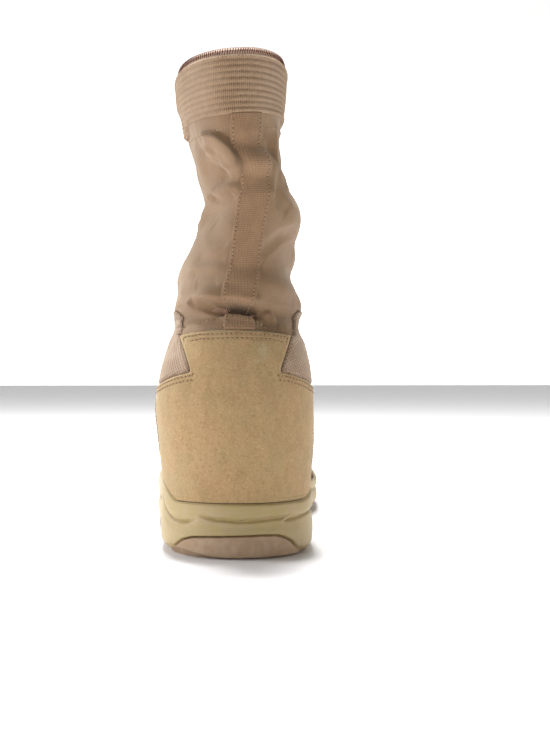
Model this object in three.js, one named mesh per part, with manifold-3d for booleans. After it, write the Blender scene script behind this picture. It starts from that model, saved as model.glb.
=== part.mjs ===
// Left combat boot with an eight inch shaft: rubber outsole, two-band midsole, one hollow upper
// with a tongue, and overlays of suede, webbing and ribbed elastic sewn onto it.
// Millimetres, +Z up. While it is modelled, Y runs from the back of the heel (0) to the toe,
// +X is the inner (medial) side and -X the outer (lateral) side of a left boot. The finished
// group is then moved so that its origin lies in the middle of its box, on the floor.

import * as THREE from 'three';
import { mergeVertices } from 'three/addons/utils/BufferGeometryUtils.js';
import Module from 'manifold-3d';

const wasm = await Module();
wasm.setup();

// Driving dimensions of the last and the shaft.
const LAST_LENGTH = 290;
const HEEL_BREADTH = 74.5;
const BALL_BREADTH = 96;
const BALL_TO_LATERAL = 0.50;
const ARCH_PINCH = 5;
const TOE_SWING = 7;
const SWING_START = 0.30;
const TOE_BOX_HEIGHT = 44;
const INSTEP_HEIGHT = 104;
const SHAFT_HEIGHT = 214;
const COLLAR_BREADTH = 55;
const RIM_TILT = 0.09;
const TILT_START = 0.75;
const FOLD_DEPTH = 7;

// Thicknesses and fits.
const UPPER_WALL = 2.2;
const SUEDE = 1.4;
const WEBBING = 1.2;
const ELASTIC = 1.3;
const TONGUE_PAD = 3.4;
const INSOLE_THICKNESS = 4;
const FIT_GAP = 0.3;

// Sole.
const HEEL_STACK = 26;
const FOREFOOT_STACK = 20;
const TOE_SPRING = 12;
const SOLE_MARGIN = 2.4;
const TOE_MARGIN = 5;
const LUG_HEIGHT = 2.4;
const TREAD_PLATE = 2.4;
const HEEL_TAB_HEIGHT = 11;
const HEEL_TAB_BREADTH = 56;
const HEEL_TAB_DEPTH = 4;
const LUG_PITCH = 17;
const LUG_GROOVE = 5;
const LUG_COLUMNS = 3;
const LUG_INSET = 2;
const HEEL_RIM_WIDTH = 12;
const HEEL_RIM_REACH = 34;
const HEEL_RIM_BEVEL = 1.6;

// Heel counter and ankle panels: heights are above the floor, reaches are from the heel's back.
const COUNTER_TOP = 107;
const COUNTER_CROWN = 0.6;
const COUNTER_NOTCH = 88.5;
const NOTCH_REACH = 8;
const STEP_DROP = 11;
const STEP_REACH = 60;
const COUNTER_FRONT_TOP = 74;
const COUNTER_REACH = 104;
const COUNTER_RAKE = 8;
const EAR_HALF_LOW = 21;
const EAR_HALF_TOP = 26.5;
const EAR_DROP = 2.2;
const PANEL_TOP = 118;
const PANEL_BACK = 25;
const PANEL_SLANT = 22;
const PANEL_FRONT_RISE = 16;
const PANEL_OVERHANG = 5;

// Collar, strap, toe cap, throat and tongue.
const BAND_HEIGHT = 29.4;
const BAND_RISE = 6;
const BAND_RISE_END = 60;
const LINING_EDGE = 1.7;
const STRAP_WIDTH = 14.6;
const TOE_CAP_LENGTH = 62;
const TOE_CAP_RAKE = 10;
const THROAT_BASE = 88;
const THROAT_ROUND = 5;
const EYESTAY_FOOT = 8;
const EYESTAY_SETBACK = 0.8;
const THROAT_HALF_BASE = 10;
const THROAT_HALF_TOP = 12;
const EYESTAY_DEPTH = 24;
const TONGUE_RISE = 7;
const TONGUE_OVERLAP = 6;

// Lacing.
const EYELET_PAIRS = 7;
const EYELET_RADIUS = 4.4;
const EYELET_BORE = 2.3;
const EYELET_FLANGE = 0.9;
const EYELET_INSET = 6.5;
const LACE_DIAMETER = 3.4;
const LACE_LIFT = 0.9;

// How finely the curved pieces are faceted.
const AROUND = 34;
const SLICES_PER_SECTION = 1;
const EYELET_SIDES = 8;
const BORE_SIDES = 6;
const LACE_SIDES = 4;
const LACE_STEPS = 4;

const BOOT_HEIGHT = HEEL_STACK + SHAFT_HEIGHT;
const BAND_EDGE = BOOT_HEIGHT - LINING_EDGE - BAND_HEIGHT;
const BALL_LATERAL = BALL_BREADTH * BALL_TO_LATERAL;
const BALL_MEDIAL = BALL_BREADTH - BALL_LATERAL;

// Sections of the upper, from the feather line to the collar. Each is a ring that leans from
// the back line to the front line. back and front are shares of LAST_LENGTH, backUp is a share
// of SHAFT_HEIGHT, frontUp is a share of TOE_BOX_HEIGHT over the toes, of INSTEP_HEIGHT over the
// instep and of SHAFT_HEIGHT above it. full is a share of the breadth of the last, which shaft
// blends from foot (0) to collar (1). heelRound and toeRound are the shares of the ring that its
// round ends take, and lean is a share of COLLAR_BREADTH that the ring moves towards +X.
const SECTIONS = [
  { back: 0.000, backUp: 0.000, front: 1.000, frontUp: 0.00, of: 'toe', full: 0.925, shaft: 0.00,
    heelRound: 0.13, toeRound: 0.30, lean: 0.018 },
  { back: -0.005, backUp: 0.065, front: 1.004, frontUp: 0.30, of: 'toe', full: 0.955, shaft: 0.00,
    heelRound: 0.13, toeRound: 0.30, lean: 0.018 },
  { back: -0.007, backUp: 0.140, front: 0.988, frontUp: 0.62, of: 'toe', full: 0.983, shaft: 0.00,
    heelRound: 0.13, toeRound: 0.31, lean: 0.011 },
  { back: -0.003, backUp: 0.224, front: 0.945, frontUp: 0.86, of: 'toe', full: 1.00, shaft: 0.00,
    heelRound: 0.13, toeRound: 0.33, lean: 0.000 },
  { back: 0.008, backUp: 0.299, front: 0.875, frontUp: 1.00, of: 'toe', full: 0.97, shaft: 0.05,
    heelRound: 0.14, toeRound: 0.37, lean: 0.010 },
  { back: 0.024, backUp: 0.364, front: 0.790, frontUp: 0.51, of: 'instep', full: 0.94, shaft: 0.25,
    heelRound: 0.18, toeRound: 0.44, lean: 0.020 },
  { back: 0.041, backUp: 0.421, front: 0.700, frontUp: 0.63, of: 'instep', full: 0.95, shaft: 0.50,
    heelRound: 0.25, toeRound: 0.50, lean: 0.025 },
  { back: 0.052, backUp: 0.477, front: 0.620, frontUp: 0.79, of: 'instep', full: 1.06, shaft: 0.75,
    heelRound: 0.35, toeRound: 0.50, lean: 0.030 },
  { back: 0.054, backUp: 0.533, front: 0.555, frontUp: 1.00, of: 'instep', full: 1.04, shaft: 1.00,
    heelRound: 0.45, toeRound: 0.50, lean: 0.025 },
  { back: 0.050, backUp: 0.598, front: 0.510, frontUp: 0.565, of: 'shaft', full: 0.99, shaft: 1.00,
    heelRound: 0.50, toeRound: 0.50, lean: 0.075 },
  { back: 0.044, backUp: 0.682, front: 0.482, frontUp: 0.660, of: 'shaft', full: 0.87, shaft: 1.00,
    heelRound: 0.50, toeRound: 0.50, lean: 0.150 },
  { back: 0.034, backUp: 0.776, front: 0.462, frontUp: 0.765, of: 'shaft', full: 0.77, shaft: 1.00,
    heelRound: 0.50, toeRound: 0.50, lean: 0.050 },
  { back: 0.022, backUp: 0.862, front: 0.447, frontUp: 0.860, of: 'shaft', full: 0.89, shaft: 1.00,
    heelRound: 0.50, toeRound: 0.50, lean: -0.015 },
  { back: 0.013, backUp: 0.940, front: 0.436, frontUp: 0.940, of: 'shaft', full: 0.98, shaft: 1.00,
    heelRound: 0.50, toeRound: 0.50, lean: -0.030 },
  { back: 0.009, backUp: 1.000, front: 0.430, frontUp: 1.000, of: 'shaft', full: 1.00, shaft: 1.00,
    heelRound: 0.50, toeRound: 0.50, lean: -0.030 },
];

// The large soft folds that the shaft has slumped into. around is the place on a ring (0 back,
// 0.25 inner side, 0.5 front, 0.75 outer side), up is a share of BOOT_HEIGHT, wide and tall are
// the half sizes on the same scales, and swell is a share of FOLD_DEPTH, out or (minus) in.
const FOLDS = [
  { around: 0.83, up: 0.780, wide: 0.10, tall: 0.070, swell: 0.45 },
  { around: 0.86, up: 0.700, wide: 0.12, tall: 0.035, swell: -0.55 },
  { around: 0.78, up: 0.560, wide: 0.14, tall: 0.080, swell: 0.40 },
  { around: 0.17, up: 0.690, wide: 0.12, tall: 0.070, swell: 0.45 },
  { around: 0.99, up: 0.482, wide: 0.16, tall: 0.028, swell: -0.60 },
  { around: 0.02, up: 0.540, wide: 0.20, tall: 0.040, swell: 0.35 },
  { around: 0.19, up: 0.446, wide: 0.11, tall: 0.032, swell: -0.35 },
  { around: 0.80, up: 0.446, wide: 0.11, tall: 0.032, swell: -0.25 },
];

// The webbing strap down the back. up is a share of the way from the counter's top to the
// collar band, across is the middle of the strap as a share of COLLAR_BREADTH towards +X.
const STRAP_LINE = [
  { up: 0.000, across: 0.036 },
  { up: 0.126, across: 0.026 },
  { up: 0.300, across: 0.071 },
  { up: 0.464, across: 0.112 },
  { up: 0.600, across: 0.156 },
  { up: 0.705, across: 0.179 },
  { up: 0.800, across: 0.129 },
  { up: 0.880, across: 0.092 },
  { up: 1.000, across: 0.089 },
];

// The side of the midsole from its lower edge to the feather line. up is a share of the height
// of the midsole, out is a share of SOLE_MARGIN beyond the outline.
const MIDSOLE_BANDS = [
  { up: 0.00, out: -0.45 },
  { up: 0.14, out: 0.20 },
  { up: 0.36, out: 0.45 },
  { up: 0.56, out: 0.25 },
  { up: 0.62, out: -0.50 },
  { up: 0.68, out: 0.20 },
  { up: 0.86, out: 0.30 },
  { up: 1.00, out: -0.25 },
];

// Powers of the rounded ends of a ring: 2 is an ellipse, more is blunter.
const OVAL = 2.1;
const TOE_BLUNTNESS = 2.6;

const mix = (a, b, t) => a + (b - a) * t;
const clamp = (t) => Math.min(1, Math.max(0, t));

function ease(from, to, x) {
  const t = clamp((x - from) / (to - from));
  return t * t * (3 - 2 * t);
}

// A soft hump, 1 in the middle and 0 from a distance of 1 on.
function hump(t) {
  const inside = Math.max(0, 1 - t * t);
  return inside * inside;
}

// Height of the sole's upper face, on which the upper and the insole stand.
function soleTop(y) {
  const along = y / LAST_LENGTH;
  return mix(HEEL_STACK, FOREFOOT_STACK, ease(0.25, 0.62, along)) + toeLift(y);
}

// How far the sole has risen from the floor towards the toe.
function toeLift(y) {
  const springStart = 0.76;
  const rise = Math.max(0, y / LAST_LENGTH - springStart) / (1 - springStart);
  return TOE_SPRING * rise ** 1.8;
}

// Reads a table of rows at the place t, from 0 to rows - 1, on a smooth curve through them.
// Past the last row it goes straight on.
function readTable(rows, t, column) {
  const last = rows.length - 1;
  const at = (i) => rows[Math.min(last, Math.max(0, i))][column];
  if (t > last) return at(last) + (at(last) - at(last - 1)) * (t - last);
  const i = Math.min(last - 1, Math.floor(t));
  const s = t - i;
  const slopeA = (at(i + 1) - at(i - 1)) / 2;
  const slopeB = (at(i + 2) - at(i)) / 2;
  const rise = at(i + 1) - at(i);
  return at(i) + s * slopeA + s * s * (3 * rise - 2 * slopeA - slopeB)
    + s * s * s * (slopeA + slopeB - 2 * rise);
}

const FRONT_RISE = { toe: TOE_BOX_HEIGHT, instep: INSTEP_HEIGHT, shaft: SHAFT_HEIGHT };
const RINGS = SECTIONS.map((row) => ({ ...row, frontRise: row.frontUp * FRONT_RISE[row.of] }));
const COLLAR_MIDDLE = RINGS[RINGS.length - 1].lean * COLLAR_BREADTH;

// Round end of a ring: 0 at the tip, 1 once it is a length round away from it.
function roundEnd(distance, round, power) {
  const t = clamp(1 - distance / round);
  return (1 - t ** power) ** (1 / power);
}

// Half breadth of the last, from its middle line to the given side, at the place y.
function lastHalf(y, side) {
  const along = y / LAST_LENGTH;
  if (side < 0) return mix(HEEL_BREADTH / 2, BALL_LATERAL, ease(0.14, 0.62, along));
  const pinch = ARCH_PINCH * hump((along - 0.40) / 0.24);
  return mix(HEEL_BREADTH / 2, BALL_MEDIAL, ease(0.40, 0.70, along)) - pinch;
}

// A point of the upper's outer face without its folds. u runs round a ring from the back over
// the inner side, v from the feather line (0) to the collar (1).
function bareSurface(u, v) {
  const t = v * (RINGS.length - 1);
  const read = (column) => readTable(RINGS, t, column);
  const turn = 2 * Math.PI * u;
  const backY = read('back') * LAST_LENGTH;
  const length = read('front') * LAST_LENGTH - backY;
  const share = (1 - Math.cos(turn)) / 2;
  const y = backY + length * share;
  const side = Math.sin(turn) < 0 ? -1 : 1;
  const half = mix(lastHalf(y, side), COLLAR_BREADTH / 2, clamp(read('shaft'))) * read('full');
  const foot = 1 - clamp(read('shaft'));
  const ends = roundEnd(length * share, length * read('heelRound'), OVAL)
    * roundEnd(length * (1 - share), length * read('toeRound'), mix(OVAL, TOE_BLUNTNESS, foot));
  const swing = TOE_SWING * ease(SWING_START, 1, y / LAST_LENGTH) * foot;
  const aside = side * half * ends;
  const x = aside + swing + read('lean') * COLLAR_BREADTH;
  const rise = mix(read('backUp') * SHAFT_HEIGHT, read('frontRise'), ease(0, 1, share));
  const tilt = RIM_TILT * aside * ease(TILT_START, 1, v);
  return new THREE.Vector3(x, y, soleTop(y) + rise + tilt);
}

function bareNormal(u, v) {
  const step = 1e-3;
  const low = Math.max(0, v - step);
  const alongU = bareSurface(u + step, v).sub(bareSurface(u - step, v));
  const alongV = bareSurface(u, v + step).sub(bareSurface(u, low));
  return alongU.cross(alongV).normalize();
}

// How far the folds push the surface out at a place.
function foldSwell(u, height) {
  let swell = 0;
  for (const fold of FOLDS) {
    const aside = Math.abs(u - fold.around) % 1;
    const du = Math.min(aside, 1 - aside) / fold.wide;
    const dz = (height / BOOT_HEIGHT - fold.up) / fold.tall;
    swell += fold.swell * FOLD_DEPTH * hump(Math.min(1, Math.hypot(du, dz)));
  }
  return swell;
}

// A point of the upper, the given offset outside its outer face. At the feather line and the
// collar the offset is level, so that the rims stay flat.
function upperPoint(u, v, offset) {
  const point = bareSurface(u, v);
  const normal = bareNormal(u, v);
  if (v <= 0 || v >= 1) normal.setZ(0).normalize();
  point.addScaledVector(normal, offset + foldSwell(u, point.z));
  if (v <= 0) point.setZ(soleTop(point.y) + FIT_GAP);
  return point;
}

// Turns lists of corners and triangles into a geometry.
function meshGeometry(corners, triangles) {
  const geometry = new THREE.BufferGeometry();
  const flat = corners.flatMap((corner) => [corner.x, corner.y, corner.z]);
  geometry.setAttribute('position', new THREE.Float32BufferAttribute(flat, 3));
  geometry.setIndex(triangles.flat());
  return geometry;
}

// Makes a closed geometry into a solid that can be joined and cut.
function toSolid(geometry) {
  const bare = geometry.clone();
  bare.deleteAttribute('normal');
  bare.deleteAttribute('uv');
  const merged = mergeVertices(bare, 1e-4);
  const mesh = new wasm.Mesh({
    numProp: 3,
    vertProperties: new Float32Array(merged.attributes.position.array),
    triVerts: new Uint32Array(merged.index.array),
  });
  return new wasm.Manifold(mesh);
}

function fromSolid(solid) {
  const mesh = solid.getMesh();
  const geometry = new THREE.BufferGeometry();
  const positions = new Float32Array(mesh.vertProperties);
  geometry.setAttribute('position', new THREE.BufferAttribute(positions, 3));
  geometry.setIndex(new THREE.BufferAttribute(new Uint32Array(mesh.triVerts), 1));
  return geometry;
}

const ring = (count, point) => Array.from({ length: count }, (_, i) => point(i));

// Closed stack of rings with the same number of corners, each ring counterclockwise from above,
// with a flat or bent lid fanned across the first and the last.
function stackGeometry(rings) {
  const sides = rings[0].length;
  const corners = rings.flat();
  const triangles = [];
  for (let j = 0; j + 1 < rings.length; j += 1) {
    for (let i = 0; i < sides; i += 1) {
      const a = j * sides + i;
      const b = j * sides + (i + 1) % sides;
      triangles.push([a, b, b + sides], [a, b + sides, a + sides]);
    }
  }
  const top = (rings.length - 1) * sides;
  for (let i = 1; i < sides / 2; i += 1) {
    const far = sides - i;
    if (i === 1) {
      triangles.push([0, far, i], [top, top + i, top + far]);
    }
    if (i + 1 < far) {
      triangles.push([i, far, i + 1], [top + i, top + i + 1, top + far]);
      if (i + 1 < far - 1) {
        triangles.push([far, far - 1, i + 1], [top + far, top + i + 1, top + far - 1]);
      }
    }
  }
  return meshGeometry(corners, triangles);
}

// The places between feather line and collar where every shell has a ring of corners, so that
// shells at different offsets have parallel faces.
const SLICES = Math.round((RINGS.length - 1) * SLICES_PER_SECTION);
const LEVELS = ring(SLICES + 1, (i) => i / SLICES);

// The wall between two offsets of the upper as one closed tube.
function upperShell(inner, outer, levels = LEVELS) {
  const slices = levels.length - 1;
  const corners = [];
  for (const offset of [outer, inner]) {
    for (const v of levels) {
      corners.push(...ring(AROUND, (i) => upperPoint(i / AROUND, v, offset)));
    }
  }
  const layer = AROUND * (slices + 1);
  const triangles = [];
  for (let i = 0; i < AROUND; i += 1) {
    const next = (i + 1) % AROUND;
    for (let j = 0; j < slices; j += 1) {
      const a = j * AROUND + i;
      const b = j * AROUND + next;
      triangles.push([a, b, b + AROUND], [a, b + AROUND, a + AROUND]);
      const c = a + layer;
      const d = b + layer;
      triangles.push([c, d + AROUND, d], [c, c + AROUND, d + AROUND]);
    }
    const top = slices * AROUND;
    triangles.push([i, i + layer, next + layer], [i, next + layer, next]);
    triangles.push([top + i, top + next, top + next + layer]);
    triangles.push([top + i, top + next + layer, top + i + layer]);
  }
  return toSolid(meshGeometry(corners, triangles));
}

// A straight prism whose outline is drawn in the view from the back (x, z), from y0 to y1.
function backViewPrism(outline, y0, y1) {
  const shape = new THREE.Shape(outline.map(([x, z]) => new THREE.Vector2(x, z)));
  const geometry = new THREE.ExtrudeGeometry(shape, { depth: y1 - y0, bevelEnabled: false });
  geometry.rotateX(Math.PI / 2);
  geometry.translate(0, y1, 0);
  return toSolid(geometry);
}

// A straight prism whose outline is drawn in the view from the inner side (y, z).
function sideViewPrism(outline, x0, x1) {
  const shape = new THREE.Shape(outline.map(([y, z]) => new THREE.Vector2(y, z)));
  const geometry = new THREE.ExtrudeGeometry(shape, { depth: x1 - x0, bevelEnabled: false });
  geometry.rotateX(Math.PI / 2);
  geometry.rotateZ(Math.PI / 2);
  geometry.translate(x0, 0, 0);
  return toSolid(geometry);
}

// A round bar between two points.
function bar(from, to, radius, sides) {
  const length = from.distanceTo(to);
  const geometry = new THREE.CylinderGeometry(radius, radius, length, sides);
  const direction = to.clone().sub(from).normalize();
  geometry.applyQuaternion(new THREE.Quaternion().setFromUnitVectors(
    new THREE.Vector3(0, 1, 0), direction));
  const middle = from.clone().add(to).multiplyScalar(0.5);
  geometry.translate(middle.x, middle.y, middle.z);
  return toSolid(geometry);
}

// Reaches of cutting prisms that go past every face of the boot.
const WIDE = HEEL_BREADTH + BALL_BREADTH;
const HIGH = BOOT_HEIGHT * 1.5;
const BEYOND = HEEL_STACK;

// Outline of the sole at the place u, the given distance outside the feather line.
function solePoint(u, out, z) {
  const foot = bareSurface(u, 0);
  const normal = bareNormal(u, 0).setZ(0).normalize();
  const along = foot.y / LAST_LENGTH;
  const margin = mix(SOLE_MARGIN, TOE_MARGIN, ease(0.45, 0.95, along));
  const point = foot.addScaledVector(normal, margin + out);
  return new THREE.Vector3(point.x, point.y, z(point.y));
}

const plateBottom = (y) => LUG_HEIGHT + toeLift(y);
const plateTop = (y) => LUG_HEIGHT + TREAD_PLATE + toeLift(y);

// Outline of the rubber tab that comes up the back of the heel, in the view from the back.
function heelTabOutline(gap) {
  const half = HEEL_TAB_BREADTH / 2 + gap;
  const top = HEEL_TAB_HEIGHT + gap;
  return [[-half, -1], [half, -1], [half, top * 0.45], [half * 0.78, top * 0.94],
    [half * 0.62, top], [-half * 0.62, top], [-half * 0.82, top * 0.92], [-half, top * 0.45]];
}

function heelTabZone(gap) {
  return backViewPrism(heelTabOutline(gap), -LAST_LENGTH, HEEL_TAB_DEPTH + gap);
}

function buildMidsole() {
  const base = (y) => plateTop(y) + FIT_GAP;
  const rings = MIDSOLE_BANDS.map((band) => ring(AROUND, (i) => solePoint(i / AROUND,
    band.out * SOLE_MARGIN, (y) => mix(base(y), soleTop(y), band.up))));
  return toSolid(stackGeometry(rings)).subtract(heelTabZone(FIT_GAP));
}

// One row of lugs: blocks with slanted ends, mirrored to either side of the middle line.
function lugRow(y, pitch) {
  const row = [];
  const width = BALL_BREADTH / LUG_COLUMNS;
  for (let column = 0; column < LUG_COLUMNS; column += 1) {
    const middle = (column - (LUG_COLUMNS - 1) / 2) * width;
    const half = (width - LUG_GROOVE) / 2;
    const slant = middle * 0.12;
    const sweep = -Math.abs(middle) * 0.18;
    const low = y + sweep;
    const high = y + pitch - LUG_GROOVE + sweep;
    const corners = [[middle - half, low + slant], [middle + half, low - slant],
      [middle + half, high - slant], [middle - half, high + slant]];
    row.push(corners);
  }
  return row;
}

// The unbroken rim of the tread round the back of the heel, with a bevelled lower edge.
function heelRim() {
  const around = (out, z) => ring(AROUND, (i) => solePoint(i / AROUND, out - LUG_INSET, () => z));
  const block = toSolid(stackGeometry([around(-HEEL_RIM_BEVEL, 0), around(0, HEEL_RIM_BEVEL),
    around(0, LUG_HEIGHT + TREAD_PLATE / 2)]));
  const middle = toSolid(stackGeometry([around(-HEEL_RIM_WIDTH, -1),
    around(-HEEL_RIM_WIDTH, HEEL_STACK)]));
  return block.subtract(middle).intersect(sideViewPrism([[-BEYOND, -BEYOND],
    [HEEL_RIM_REACH, -BEYOND], [HEEL_RIM_REACH, HIGH], [-BEYOND, HIGH]], -WIDE, WIDE));
}

function buildOutsole() {
  const inset = -0.4 * SOLE_MARGIN;
  const plate = toSolid(stackGeometry([
    ring(AROUND, (i) => solePoint(i / AROUND, inset, plateBottom)),
    ring(AROUND, (i) => solePoint(i / AROUND, inset, plateTop)),
  ]));
  const tabRing = (z) => ring(AROUND, (i) => solePoint(i / AROUND, 0, () => z));
  const tab = toSolid(stackGeometry([tabRing(LUG_HEIGHT * 0.9), tabRing(HEEL_TAB_HEIGHT + 2)]))
    .intersect(heelTabZone(0));
  const lugArea = toSolid(stackGeometry([
    ring(AROUND, (i) => solePoint(i / AROUND, -LUG_INSET, () => -1)),
    ring(AROUND, (i) => solePoint(i / AROUND, -LUG_INSET, () => HEEL_STACK)),
  ]));
  const treadZones = [
    { from: 0.012, to: 0.30 },
    { from: 0.46, to: 0.97 },
  ];
  let lugs = null;
  for (const zone of treadZones) {
    const room = (zone.to - zone.from) * LAST_LENGTH;
    const rows = Math.max(1, Math.round(room / LUG_PITCH));
    for (let r = 0; r < rows; r += 1) {
      const y = zone.from * LAST_LENGTH + r * (room / rows);
      const row = lugRow(y, room / rows);
      const kept = y < HEEL_RIM_REACH ? [row[(LUG_COLUMNS - 1) / 2]] : row;
      for (const corners of kept) {
        const level = (z) => corners.map(([x, cy]) => new THREE.Vector3(x, cy, z + toeLift(cy)));
        const block = toSolid(stackGeometry([level(0), level(LUG_HEIGHT + TREAD_PLATE / 2)]));
        lugs = lugs ? lugs.add(block) : block;
      }
    }
  }
  return plate.add(tab).add(lugs.intersect(lugArea)).add(heelRim());
}

function buildInsole() {
  const inside = -(UPPER_WALL + 2 * FIT_GAP);
  const level = (share) => ring(AROUND, (i) => {
    const foot = upperPoint(i / AROUND, 0, inside - share * 0.5);
    foot.z = soleTop(foot.y) + FIT_GAP + share * INSOLE_THICKNESS;
    return foot;
  });
  return toSolid(stackGeometry([level(0), level(1)]));
}

// The place v at which the front line of the upper reaches a height, found by halving.
function frontPlace(height) {
  let low = 0.3;
  let high = 1;
  for (let i = 0; i < 24; i += 1) {
    const v = (low + high) / 2;
    if (bareSurface(0.5, v).z < height) low = v;
    else high = v;
  }
  return (low + high) / 2;
}

// Half width of the throat at a height, in the view from the front.
function throatHalf(z) {
  return mix(THROAT_HALF_BASE, THROAT_HALF_TOP, ease(THROAT_BASE, INSTEP_HEIGHT + HEEL_STACK, z));
}

const throatCentre = (z) => bareSurface(0.5, frontPlace(z)).x;

// Outline of the throat in the view from the back, grown by a margin. It has a round base.
function throatOutline(margin) {
  const steps = 6;
  const heights = ring(steps + 1, (i) => mix(THROAT_BASE, BOOT_HEIGHT, i / steps));
  const edge = (z, side) => [throatCentre(z) + side * (throatHalf(z) + margin), z];
  const right = heights.map((z) => edge(z, 1));
  const left = heights.map((z) => edge(z, -1)).reverse();
  const [lowX, lowZ] = [throatCentre(THROAT_BASE), THROAT_BASE - THROAT_ROUND - margin];
  const baseHalf = 0.6 * (THROAT_HALF_BASE + margin);
  const topX = throatCentre(BOOT_HEIGHT);
  const topHalf = THROAT_HALF_TOP + margin;
  return [[lowX - baseHalf, lowZ], [lowX + baseHalf, lowZ], ...right, [topX + topHalf, HIGH],
    [topX - topHalf, HIGH], ...left];
}

function throatCutter(margin) {
  return backViewPrism(throatOutline(margin), LAST_LENGTH * 0.25, LAST_LENGTH * 1.2);
}

// Place on the upper where an eyelet sits: the inset is walked along the ring from the edge
// of the throat.
function eyeletPlace(v, side) {
  const step = side * -0.001;
  let u = 0.5;
  let point = bareSurface(u, v);
  while (Math.abs(point.x - throatCentre(point.z)) < throatHalf(point.z)) {
    u += step;
    point = bareSurface(u, v);
  }
  let walked = 0;
  while (walked < EYELET_INSET) {
    const next = bareSurface(u + step, v);
    walked += next.distanceTo(point);
    point = next;
    u += step;
  }
  return u;
}

// Shares of the way from the throat's base to the collar at which the eyelet pairs sit.
const EYELET_ROWS = ring(EYELET_PAIRS, (i) => mix(0.50, 0.96, i / (EYELET_PAIRS - 1)));
const EYELETS = EYELET_ROWS.map((v) => ({
  v,
  medial: eyeletPlace(v, 1),
  lateral: eyeletPlace(v, -1),
}));

function eyeletAxis(u, v, from, to) {
  return [upperPoint(u, v, from), upperPoint(u, v, to)];
}

const EYESTAY_IN = FIT_GAP;
const EYESTAY_OUT = FIT_GAP + SUEDE;

function buildUpper() {
  let wall = upperShell(-UPPER_WALL, 0).subtract(throatCutter(0));
  for (const row of EYELETS) {
    for (const u of [row.medial, row.lateral]) {
      const [inner, outer] = eyeletAxis(u, row.v, -UPPER_WALL - 3, 3);
      wall = wall.subtract(bar(inner, outer, EYELET_BORE + FIT_GAP, BORE_SIDES));
    }
  }
  return wall;
}

// The strip along the throat that the eyestays cover, in the view from the side.
function eyestayOutline(margin) {
  const steps = 6;
  const start = frontPlace(THROAT_BASE - EYESTAY_FOOT);
  const edge = ring(steps + 1, (i) => {
    const front = bareSurface(0.5, mix(start, 1, i / steps));
    return [front.y - EYESTAY_DEPTH - margin, front.z];
  });
  const topY = edge[steps][0];
  const lowZ = edge[0][1] - margin;
  return [...edge, [topY, HIGH], [LAST_LENGTH, HIGH], [LAST_LENGTH, lowZ], [edge[0][0], lowZ]];
}

// Tilts a level solid with the rim: up on the inner side, down on the outer side.
function tilted(solid) {
  return solid.transform([1, 0, RIM_TILT, 0, 0, 1, 0, 0, 0, 0, 1, 0,
    0, 0, -RIM_TILT * COLLAR_MIDDLE, 1]);
}

// Everything under the upper edge of the band.
function underRim() {
  const high = BOOT_HEIGHT - LINING_EDGE;
  return tilted(backViewPrism([[-WIDE, -BEYOND], [WIDE, -BEYOND], [WIDE, high], [-WIDE, high]],
    -LAST_LENGTH, 2 * LAST_LENGTH));
}

// The eyestay of one side: the strip along the throat with its eyelets set into it.
function buildEyestay(side) {
  const seam = throatCentre(THROAT_BASE) + side * FIT_GAP / 2;
  const zone = sideViewPrism(eyestayOutline(0), side > 0 ? seam : -WIDE, side > 0 ? WIDE : seam);
  const backing = upperShell(-UPPER_WALL, EYESTAY_IN);
  let strip = upperShell(EYESTAY_IN, EYESTAY_OUT).intersect(zone)
    .intersect(underRim()).subtract(throatCutter(EYESTAY_SETBACK));
  for (const row of EYELETS) {
    const u = side > 0 ? row.medial : row.lateral;
    const [seat, face] = eyeletAxis(u, row.v, EYESTAY_IN, EYESTAY_OUT + EYELET_FLANGE);
    strip = strip.add(bar(seat, face, EYELET_RADIUS, EYELET_SIDES).subtract(backing));
    const [inner, outer] = eyeletAxis(u, row.v, -1, EYESTAY_OUT + 3);
    strip = strip.subtract(bar(inner, outer, EYELET_BORE, BORE_SIDES));
  }
  return strip;
}

// The elastic band hangs from just below the rim. Its lower edge rises from the back to the
// sides, and tilts with the rim.
function buildCollarBand() {
  const edge = [[-BEYOND, BAND_EDGE], [0, BAND_EDGE], [BAND_RISE_END, BAND_EDGE + BAND_RISE],
    [LAST_LENGTH, BAND_EDGE + BAND_RISE]];
  const zone = sideViewPrism([...edge, [LAST_LENGTH, BOOT_HEIGHT - LINING_EDGE],
    [-BEYOND, BOOT_HEIGHT - LINING_EDGE]], -WIDE, WIDE);
  return upperShell(FIT_GAP, FIT_GAP + ELASTIC).intersect(tilted(zone))
    .subtract(sideViewPrism(eyestayOutline(2 * FIT_GAP), -WIDE, WIDE));
}

// The counter below its ears, in the view from the side: its upper edge steps down along the
// ankle towards the front.
function counterSideOutline(margin) {
  return [[-BEYOND, -BEYOND], [COUNTER_REACH + COUNTER_RAKE, -BEYOND],
    [COUNTER_REACH, COUNTER_FRONT_TOP - COUNTER_RAKE],
    [COUNTER_REACH - COUNTER_RAKE, COUNTER_FRONT_TOP + margin],
    [STEP_REACH, COUNTER_NOTCH - STEP_DROP + margin], [NOTCH_REACH, COUNTER_NOTCH + margin],
    [-BEYOND, COUNTER_NOTCH + margin]];
}

// The ears of the counter in the view from the back: they widen from the notches to the top.
function counterEarOutline(margin) {
  const low = EAR_HALF_LOW + margin;
  const high = EAR_HALF_TOP + margin;
  const top = COUNTER_TOP + margin;
  const base = COUNTER_NOTCH - STEP_DROP;
  return [[-low, base], [low, base], [low, COUNTER_NOTCH], [high, top - EAR_DROP],
    [high * 0.6, top - COUNTER_CROWN], [0, top], [-high * 0.6, top - COUNTER_CROWN],
    [-high, top - EAR_DROP], [-low, COUNTER_NOTCH]];
}

function counterZone(margin) {
  return sideViewPrism(counterSideOutline(margin), -WIDE, WIDE)
    .add(backViewPrism(counterEarOutline(margin), -LAST_LENGTH, COUNTER_REACH / 2));
}

function buildHeelCounter() {
  return upperShell(FIT_GAP, FIT_GAP + SUEDE).intersect(counterZone(0));
}

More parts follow.
